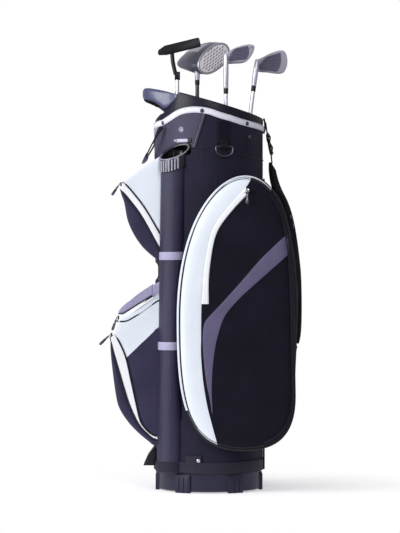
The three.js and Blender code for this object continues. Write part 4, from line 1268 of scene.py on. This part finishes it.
def make_slider(name, at, angle, lean=0, body="bag", replaces=(), material=CHROME, scale=1.0):
    """A zip's slider: a waisted body with a bridge for the pull, facing +X before it is turned."""
    place = turn(at, -lean, 0, angle) @ Matrix.Scale(scale, 4)
    outline = [(4.2, -4), (5.0, 0), (4.6, 3.6), (2.0, 5.4), (-2.0, 5.4), (-4.6, 3.6), (-5.0, 0), (-4.2, -4),
               (-2.4, -6), (2.4, -6)]
    rings = []
    for x, grow in ((-2.0, 0.86), (-1.6, 1.0), (-0.4, 1.0), (0, 0.8), (0.5, 1.0), (1.5, 1.0), (2.0, 0.84)):
        rings.append(spline([(x, y * grow * 0.8, z * grow) for y, z in outline], 30, closed=True))
    bridge = [Vector((x, 0, z)) for z, x in ((-4.2, 1.6), (-3.6, 3.4), (-2, 4.3), (0, 4.4), (2, 3.6),
                                             (3.4, 1.6))]
    made = moved(joined(loft(rings), swept(bridge, oval(2.0, 1.0, 10, 3), OUT_X)), place)
    piece(name, made, material, body=body, replaces=replaces, sharp=50)


# Each pull's name, eye, turn about Z, swing, length, material and slot.
PULLS = [("right", (108, 183, 607), 90, 4, 26, GUN, "gunmetal"),
         ("left", (-108, 183, 607), 90, 4, 26, GUN, "gunmetal"),
         ("upper", (50, -199, 681), -90, 34, 30, NICKEL, "chrome"),
         ("lid", (56, -204.5, 385), -90, 20, 30, NICKEL, "chrome"),
         ("ball", (62, -219.5, 347), -90, 46, 32, NICKEL, "chrome")]


def make_zips():
    top = Vector((PANEL_X + 3.4, 82, 662))
    make_slider("inner_slider", top, 0, 47, body="zip_slider", replaces=["inner_zip_slider"])
    make_pull("inner_zip_pull", "slider_pull", top + Vector((4.2, 0, -4)), 0, 4, 26, GUN)
    for name, eye, angle, swing, length, material, slot in PULLS:
        twist, back = (60, 3.6) if eye[1] < 0 else (0, -3.6)
        make_pull(f"{name}_zip_pull", f"{name}_pull", eye, angle, swing, length, material, twist)
        make_slider(f"{name}_zip_pull_slider", Vector(eye) + OUT_Y * back, angle, material=material,
                    scale=0.8)


# ---- Grab strap and shoulder strap ---------------------------------------------------------------------

def hang(share):
    """The grab strap's hanging curve, from one end at 0 to the other at 1."""
    swing = math.sin(share * math.pi)
    y, z = -99 - 44 * max(swing, 0) ** 0.8, 812 - 74 * max(swing, 0) ** 0.9
    return Vector((80 * math.cos(share * math.pi), y, z))


def ribbon(start, end, shape, count):
    """A strip along the hanging curve; shape(share) gives its section."""
    rings = []
    for i in range(count):
        share = start + (end - start) * i / (count - 1)
        along = (hang(share + 0.01) - hang(share - 0.01)).normalized()
        across = Vector((0, 0.45, 0.9))
        across = (across - along * across.dot(along)).normalized()
        out = along.cross(across)
        rings.append([hang(share) + across * a + out * b for a, b in shape((share - start) / (end - start))])
    return loft(rings)


def make_grab_strap():
    def curled(s):
        """The sleeve's section: cupped round the webbing and thinner at both ends."""
        grow = 0.45 + 0.55 * step(0, 0.14, min(s, 1 - s))
        return [(a * grow, b * (0.6 + 0.4 * grow) + 3.2 * grow * (1 - (a / 12) ** 2) - 2)
                for a, b in oval(24, 6.4, 24, 2.6)]

    strip = ribbon(0.02, 0.98, lambda s: oval(9 - 2 * math.sin(math.pi * s), 3, 12, 5), 60)
    piece("grab_webbing", strip, WEB, body="grab_handle", replaces=["grab_strap"])
    grip = ribbon(0.37, 0.63, curled, 30)
    piece("grab_sleeve", grip, GREY, body="grab_handle", replaces=["grab_strap_grip"])


def strap_piece(name, line, wide, thick, replaces):
    made = across_bag(side_line(line, 40), Vector((0, 1, 0.35)), lambda i: oval(wide, thick, 16, 6))
    piece(name, made, WEB, replaces=replaces)


PAD_LINE = [(141, 735), (144, 712), (150, 687), (159, 664), (171, 640), (181, 610), (188.5, 574), (195, 529),
            (200, 479), (201.5, 424), (201, 369), (197.5, 322)]


def across_bag(line, normal, shape):
    """A loft along a line in the plane x = 0 whose sections stay level; shape(i) gives each one."""
    rings = []
    for i, (p, along, _, _) in enumerate(frames(line, normal)):
        out = along.cross(OUT_X)
        rings.append([p + OUT_X * a + out * b for a, b in shape(i)])
    return loft(rings)


def make_shoulder_strap():
    strap_piece("strap_top", [(126.8, 820), (130, 798), (135.5, 766), (139, 748), (141, 728)], 26, 2.6,
                ["strap_webbing"])
    strap_piece("strap_low", [(196.8, 319.5), (190, 302), (172, 287), (148, 280), (131, 275), (129, 256)],
                26, 2.6, ["strap_lower_webbing"])
    strap_piece("strap_anchor", [(122.6, 829), (124.6, 822), (125.4, 812), (124.6, 802), (122.6, 796)], 30,
                3.4, [])
    path = side_line(PAD_LINE, 120)
    reach = length_of(path)

    def pad_section(i):
        end = min(i / 119, 1 - i / 119) * reach
        wide = 57 - 18 * (1 - step(0, 34, end))
        return oval(wide, 5 + 4 * step(0, 22, end), 36, 3)

    made = across_bag([p - OUT_Y * 4.5 for p in path], Vector((0, 1, 0.2)), pad_section)
    pad = piece("strap_pad", made, SPACER, replaces=["shoulder_pad"], sharp=180)
    inflate(pad, 5.0, 6.0)
    rows = [[p + Vector((x, 5.0, 0.8)) for p in path[8:-8]] for x in (-23, 23)]
    sew("strap_pad_stitches", rows, Vector((0, 1, 0.2)), lift=0.2)
    make_buckle("adjuster", turn((0, 136.8, 763), 12), 26, ["strap_adjuster"])
    make_buckle("upper_adjuster", turn((0, 131.8, 786), 8), 17, [])


def make_buckle(name, place, tall, replaces):
    """A ladder buckle: a thick rounded frame with a bar that the webbing doubles back over."""
    x, z = 15, tall / 2 - 2
    outline = [(-x, z), (0, z), (x, z), (x, 0), (x, -z), (0, -z), (-x, -z), (-x, 0)]
    frame_line = spline([(px, 0, pz) for px, pz in outline], 72, closed=True)
    ring = swept(frame_line, oval(5, 6.4, 14, 3), OUT_Y, closed=True)
    bar = tube([Vector((s * x, 0, 0)) for s in (-1, 0, 1)], 2.2, 12, UP)
    lip = swept([Vector((s * 14, 2.6, 1 - tall / 2)) for s in (-1, 0, 1)], oval(5, 3, 12, 3), UP)
    hump = [(1.0, tall / 2 + 3), (4.4, 4), (5.6, 0), (4.4, -4), (1.2, -tall / 2 - 3)]
    strap = swept(side_line(hump, 24), oval(24, 2.2, 14, 6), OUT_Y)
    piece(name, moved(joined(ring, bar, lip), place), DARK, replaces=replaces)
    piece(f"{name}_web", moved(strap, place), WEB)


def inflate(ob, pressure, cap):
    """Swells a padded piece as cloth under pressure, capped in millimetres, and smooths it."""
    remesh = ob.modifiers.new("voxels", "REMESH")
    remesh.mode = "VOXEL"
    remesh.voxel_size = 4.5 * MM
    bake(ob)
    start = [v.co.copy() for v in ob.data.vertices]
    cloth = ob.modifiers.new("swell", "CLOTH")
    cloth.settings.use_pressure = True
    cloth.settings.uniform_pressure_force = pressure
    cloth.settings.effector_weights.gravity = 0
    scene = bpy.context.scene
    for i in range(1, 21):
        scene.frame_set(i)
    bake(ob)
    scene.frame_set(1)
    for v, at in zip(ob.data.vertices, start):
        away = v.co - at
        if away.length > cap * MM:
            v.co = at + away.normalized() * cap * MM
    ob.data.shade_smooth()
    fine = ob.modifiers.new("fine", "SUBSURF")
    fine.levels = fine.render_levels = 1


def bake(ob):
    """Puts a piece's modifiers into its mesh."""
    made = bpy.data.meshes.new_from_object(ob.evaluated_get(bpy.context.evaluated_depsgraph_get()))
    ob.modifiers.clear()
    ob.data = made


# ---- Clubs -------------------------------------------------------------------------------------------

# The driver head from its face back: depth, middle, width, height and lift of each section.
DRIVER_SECTIONS = [(-13, 57, 102, 54, 23), (6, 57, 107, 54, 26), (32, 58, 105, 43, 31), (58, 59, 93, 31, 33),
                   (78, 60, 68, 20, 31), (89, 60, 36, 9, 29)]
DRIVER_POWER, FACE_Y = 2.16, -15.6
DRIVER_TOP = (-24, -26.3, GRIP_FLOOR + 908)
DRIVER_AT = turn(DRIVER_TOP, 0, -32, 130)


def driver_values(y):
    """The driver head's middle, width, height and lift at a depth behind its face."""
    return [table([(s[0], s[k]) for s in DRIVER_SECTIONS], y) for k in (1, 2, 3, 4)]


def driver_ring(y, middle, width, height, lift, count=56):
    return [Vector((middle + a, y, lift + b)) for a, b in oval(width, height, count, DRIVER_POWER)]


def driver_dashes(middle, width, height, lift):
    """Rows of short slanted dashes on the driver's face, every other row shifted by half a step."""
    dashes = []
    for row in range(8):
        z = lift - 21 + 6 * row
        reach = (width - 16) / 2 * math.sqrt(max(0, 1 - ((z - lift) / ((height - 8) / 2)) ** 2))
        for k in range(-5, 6):
            start = 10.5 * k + 5 * (row % 2) - 4
            if start < -reach or start + 7 > reach:
                continue
            line = [Vector((middle + start + 7 * t / 4, 0, z + 1.8 * t / 4)) for t in range(5)]
            for p in line:
                out = math.hypot((p.x - middle) / (width - 4) * 2, (p.z - lift) / (height - 4) * 2)
                p.y = FACE_Y - 0.15 - 1.6 * max(0, 1 - out ** 2.4)
            dashes.append(swept(line, oval(1.5, 0.7, 8), FRONT))
    return joined(*dashes)


def driver_sole():
    """A narrow plate along the top of the head as it hangs, following its crown."""
    top, bottom = [], []
    for i in range(14):
        t = i / 13
        y = 4 + 62 * t
        middle, width, height, lift = driver_values(y)
        reach = (19 - 9 * t) / (width / 2)
        row = []
        for j in range(9):
            s = (-1 + 2 * j / 8) * reach
            up = (1 - abs(s) ** DRIVER_POWER) ** (1 / DRIVER_POWER)
            row.append(Vector((middle + s * width / 2, y, lift + up * height / 2)))
        end = 0.5 if i in (0, 13) else 1
        top.append([p + UP * (0.5 if j in (0, 8) else 1.1) * end for j, p in enumerate(row)])
        bottom.append([p - UP * 0.8 for p in row])
    return slab(top, bottom)


def make_driver():
    def add(name, made, material, replaces=(), sharp=40):
        piece(f"driver_{name}", moved(made, DRIVER_AT), material, body="driver",
              replaces=replaces, sharp=sharp)

    front = DRIVER_SECTIONS[0][1:]
    middle, width, height, lift = front
    sections = []
    for i in range(28):
        y = -13 + 102 * i / 27
        sections.append(driver_ring(y, *driver_values(y)))
    for y, less in ((-14.6, 1.6), (-15.4, 4)):
        sections.insert(0, driver_ring(y, middle, width - less, height - less, lift))
    add("shell", loft(sections), CROWN, ["driver_head"], 60)
    rings = []
    for share, bulge in ((0.02, 1), (0.3, 0.93), (0.55, 0.76), (0.75, 0.5), (0.9, 0.22), (0.97, 0.08),
                         (1.0, -0.8)):
        y = FACE_Y - 1.6 * bulge
        rings.append(driver_ring(y, middle, (width - 4) * share, (height - 4) * share, lift))
    add("face", loft(rings), TITAN, sharp=60)
    add("grooves", driver_dashes(*front), DARK)
    rim = driver_ring(-14.9, middle, width - 1.6, height - 1.6, lift, 90)
    add("rim", tube(rim, 2.0, 10, FRONT, closed=True), BLADE)
    rim = driver_ring(FACE_Y, middle, width - 5, height - 5, lift, 90)
    add("face_line", tube(rim, 0.8, 8, FRONT, closed=True), DARK)
    add("sole_plate", driver_sole(), BLADE)
    neck = [(0, 0), (5.2, 0), (5.7, 3), (5.9, 14), (7.2, 22), (8.9, 29), (9.6, 36), (7, 41), (0, 42)]
    piece("driver_neck", lathe(neck, 40, turn(DRIVER_TOP)), BLADE, body="driver")


IRON_BLADE = [(-4.7, 58), (-2.9, 68), (2.7, 78), (10.5, 84), (21.6, 89.6), (37.2, 94.3), (52.9, 96.6),
              (61.8, 94.8),
              (64, 90), (60.7, 79.2), (52.9, 66.9), (43.9, 59), (32.8, 55.8), (17.2, 55), (5, 55)]
WEDGE_BLADE = [(-4.5, 43.5), (-2.3, 56), (10.3, 64.6), (27, 75.6), (44.1, 83.3), (55.2, 84.7), (62.6, 79),
               (67.6, 66), (68.2, 52.5), (63.2, 38.6), (50.2, 34), (27.5, 34), (5, 33.8)]


# Left and right edges of each blade's blasted zone, and a blade's rings as (depth, inset), face to back.
IRON_ZONE = ([(9, 60), (7, 66), (10, 74), (15, 82), (20, 87)],
             [(46, 64), (50, 70), (52, 78), (52, 86), (50, 93.4)])
WEDGE_ZONE = ([(8, 38), (6, 44), (9, 52), (14, 60), (20, 67)],
              [(48, 38), (52, 46), (54, 56), (53, 68), (50, 80)])
BLADE_RINGS = [(3.0, 5.5), (3.0, 1.6), (2.6, 0.7), (1.8, 0.1), (0, 0), (-1.8, 0.1), (-2.6, 0.6), (-3.0, 1.8),
               (-2.8, 5), (-1.6, 6), (-1.0, 7.5)]


def club_matrix(x, y, hosel, lean=0.0):
    """Where a club's neck starts: hosel up its shaft, which may lean forward in its slot."""
    foot = Matrix.Translation((x, y, GRIP_FLOOR + 13 * math.sin(math.radians(lean))))
    return foot @ Matrix.Rotation(math.radians(-lean), 4, "X") @ Matrix.Translation((0, 0, hosel))


def make_blade(name, blade, loft_angle, angle, place, zone):
    """An iron's head: the blade leaned by its loft, a blasted face zone with grooves, and the neck."""
    low, high = min(z for _, z in blade), max(z for _, z in blade)
    middle = (low + high) / 2
    outline = side_line(blade, 120, closed=True)
    centre = sum(outline, Vector()) / len(outline)
    slope = math.tan(math.radians(loft_angle))
    spin = place @ Matrix.Rotation(math.radians(angle - 90), 4, "Z")

    def shaped(x, p):
        back = 9 * ((p.z - low) / (high - low)) ** 2 if x < 0 else 0
        return Vector((x - back + (p.z - middle) * slope, p.y, p.z))

    def inset(d):
        out = []
        for i, p in enumerate(outline):
            along = (outline[(i + 1) % len(outline)] - outline[i - 1]).normalized()
            inward = Vector((0, along.z, -along.y))
            out.append(p + inward * (-d if inward.dot(centre - p) < 0 else d))
        return out

    def add(part, made, material, replaces=(), sharp=40):
        piece(f"{name}_{part}", made, material, body=name, replaces=replaces, sharp=sharp)

    rings = [[shaped(x, p) for p in inset(d)] for x, d in BLADE_RINGS]
    add("blade", moved(loft(rings), spin), BLADE, [f"{name}_head"], 35)
    neck = [(0, 0), (5.0, 0), (5.5, 2), (6.0, low - 6), (5.6, low + 2), (5.0, middle - 6), (3.5, middle),
            (0, middle + 1)]
    add("neck", lathe(neck, 36, place), BLADE)
    rows = []
    for left, right in zip(side_line(zone[0], 21), side_line(zone[1], 21)):
        rows.append([shaped(3.12, left.lerp(right, j / 12)) for j in range(13)])
    under = [[p - OUT_X * 0.9 for p in row] for row in rows]
    add("face", moved(slab(rows, under), spin), BLAST)
    grooves = [swept([p + OUT_X * 0.06 for p in row[1:-1]], oval(0.7, 0.35, 6), OUT_X)
               for row in rows[1:20:2]]
    add("grooves", moved(joined(*grooves), spin), DARK)


def make_clubs():
    make_driver()
    make_blade("iron", IRON_BLADE, 24, 86, club_matrix(23, 37.6, 886.5), IRON_ZONE)
    make_blade("wedge", WEDGE_BLADE, 30, 90, club_matrix(-4, -9, 899, 7), WEDGE_ZONE)


# ---- The whole set -------------------------------------------------------------------------------------

CAD_LOOKS = {
    "base": (MOULDED, 0.6), "cuff": (CUFF, 0.8), "putter_mouth": (COLLAR, 0.5), "foot_grab": (DARK, 1.2),
    "putter_grip": (RUBBER, 0), "putter_shaft": (STEEL, 0), "putter_head": (PUTTER, 0.9),
    "driver_grip": (RUBBER, 0), "driver_shaft": (CARBON, 0), "driver_ferrule": (DARK, 0),
    "iron_grip": (RUBBER, 0), "iron_shaft": (STEEL, 0), "iron_ferrule": (DARK, 0),
    "wedge_grip": (RUBBER, 0), "wedge_shaft": (STEEL, 0), "wedge_ferrule": (DARK, 0),
}


def finish_cad(node, material, width):
    """A CAD node that stays: its own mesh, welded, bevelled and shaded smooth."""
    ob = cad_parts[node]
    ob.data.materials.clear()
    ob.data.materials.append(material)
    for polygon in ob.data.polygons:
        polygon.use_smooth = True
        polygon.material_index = 0
    weld = ob.modifiers.new("weld", "WELD")
    weld.merge_threshold = 0.00002
    if width:
        rounding = ob.modifiers.new("edges", "BEVEL")
        rounding.width = width * MM
        rounding.segments = 3
        rounding.limit_method = "ANGLE"
        rounding.angle_limit = math.radians(32)
        rounding.harden_normals = False
    flats = ob.modifiers.new("flats", "EDGE_SPLIT")
    flats.split_angle = math.radians(38)
    flats.use_edge_sharp = False


make_body()
for side in (1, -1):
    make_shield(side)
make_throat_panel()
make_trim()
make_rim()
make_handle()
make_dividers()
make_tube()
make_fittings()
make_towel_ring()
make_side_pocket("right", lambda made: made)
make_side_pocket("left", mirror)
make_upper_pocket()
make_ball_pocket()
make_zips()
make_grab_strap()
make_shoulder_strap()
make_clubs()
for node, (material, width) in CAD_LOOKS.items():
    finish_cad(node, material, width)


# ---- Camera, floor and light -----------------------------------------------------------------------------

def make_floor():
    """A pale disc that fades into the white room around it."""
    count, reach = 64, 1500
    turns = [2 * math.pi * i / count for i in range(count)]
    ring = [(reach * math.cos(a), reach * math.sin(a), 0) for a in turns]
    mesh = bpy.data.meshes.new("floor")
    mesh.from_pydata([tuple(Vector(p) * MM) for p in ring], [], [tuple(range(count))])
    n = Nodes("floor paper")
    n.feed("Base Color", n.ramp(n.noise(400, 2), (0.86, 0.86, 0.87, 1), (0.88, 0.88, 0.89, 1)))
    n.set(Roughness=0.95, Specular_IOR_Level=0.0, Emission_Color=(1, 1, 1, 1), Emission_Strength=0.42)
    away = n.add("ShaderNodeVectorMath", operation="LENGTH")
    n.link(n.place, away.inputs[0])
    fade = n.add("ShaderNodeMapRange", interpolation_type="SMOOTHSTEP")
    for name, value in (("From Min", 0.14), ("From Max", 0.62), ("To Min", 1), ("To Max", 0)):
        fade.inputs[name].default_value = value
    n.link(away.outputs["Value"], fade.inputs["Value"])
    n.feed("Alpha", fade.outputs["Result"])
    mesh.materials.append(n.material)
    ob = bpy.data.objects.new("floor", mesh)
    bpy.context.scene.collection.objects.link(ob)


def softbox(name, at, aim, size, power):
    light = bpy.data.lights.new(name, "AREA")
    light.shape = "RECTANGLE"
    light.size, light.size_y = size
    light.energy = power
    ob = bpy.data.objects.new(name, light)
    ob.location = at
    ob.rotation_euler = (Vector(aim) - Vector(at)).to_track_quat("-Z", "Y").to_euler()
    bpy.context.scene.collection.objects.link(ob)


def make_studio():
    make_floor()
    scene = bpy.context.scene
    world = bpy.data.worlds.new("studio")
    world.use_nodes = True
    tree = world.node_tree
    seen, light = tree.nodes["Background"], tree.nodes.new("ShaderNodeBackground")
    seen.inputs["Color"].default_value = (1, 1, 1, 1)
    seen.inputs["Strength"].default_value = 1.0
    light.inputs["Color"].default_value = (0.96, 0.95, 1, 1)
    light.inputs["Strength"].default_value = 0.4
    ray, mix = tree.nodes.new("ShaderNodeLightPath"), tree.nodes.new("ShaderNodeMixShader")
    tree.links.new(ray.outputs["Is Camera Ray"], mix.inputs["Fac"])
    tree.links.new(light.outputs["Background"], mix.inputs[1])
    tree.links.new(seen.outputs["Background"], mix.inputs[2])
    tree.links.new(mix.outputs["Shader"], tree.nodes["World Output"].inputs["Surface"])
    scene.world = world
    softbox("key", (1.75, -2.75, 1.4), (0, 0, 0.55), (1.9, 2.2), 108)
    softbox("front", (4.3, 0.7, 2.3), (0, 0, 0.55), (0.8, 1.6), 50)
    scene.view_settings.view_transform = "Standard"
    camera = bpy.data.cameras.new("camera")
    camera.lens = 161.3
    camera.sensor_width = 36
    camera.clip_end = 100
    ob = bpy.data.objects.new("camera", camera)
    ob.location = (5.350, -0.0202, 0.498)
    ob.rotation_euler = (math.radians(90), 0, math.radians(90))
    scene.collection.objects.link(ob)
    scene.camera = ob


make_studio()
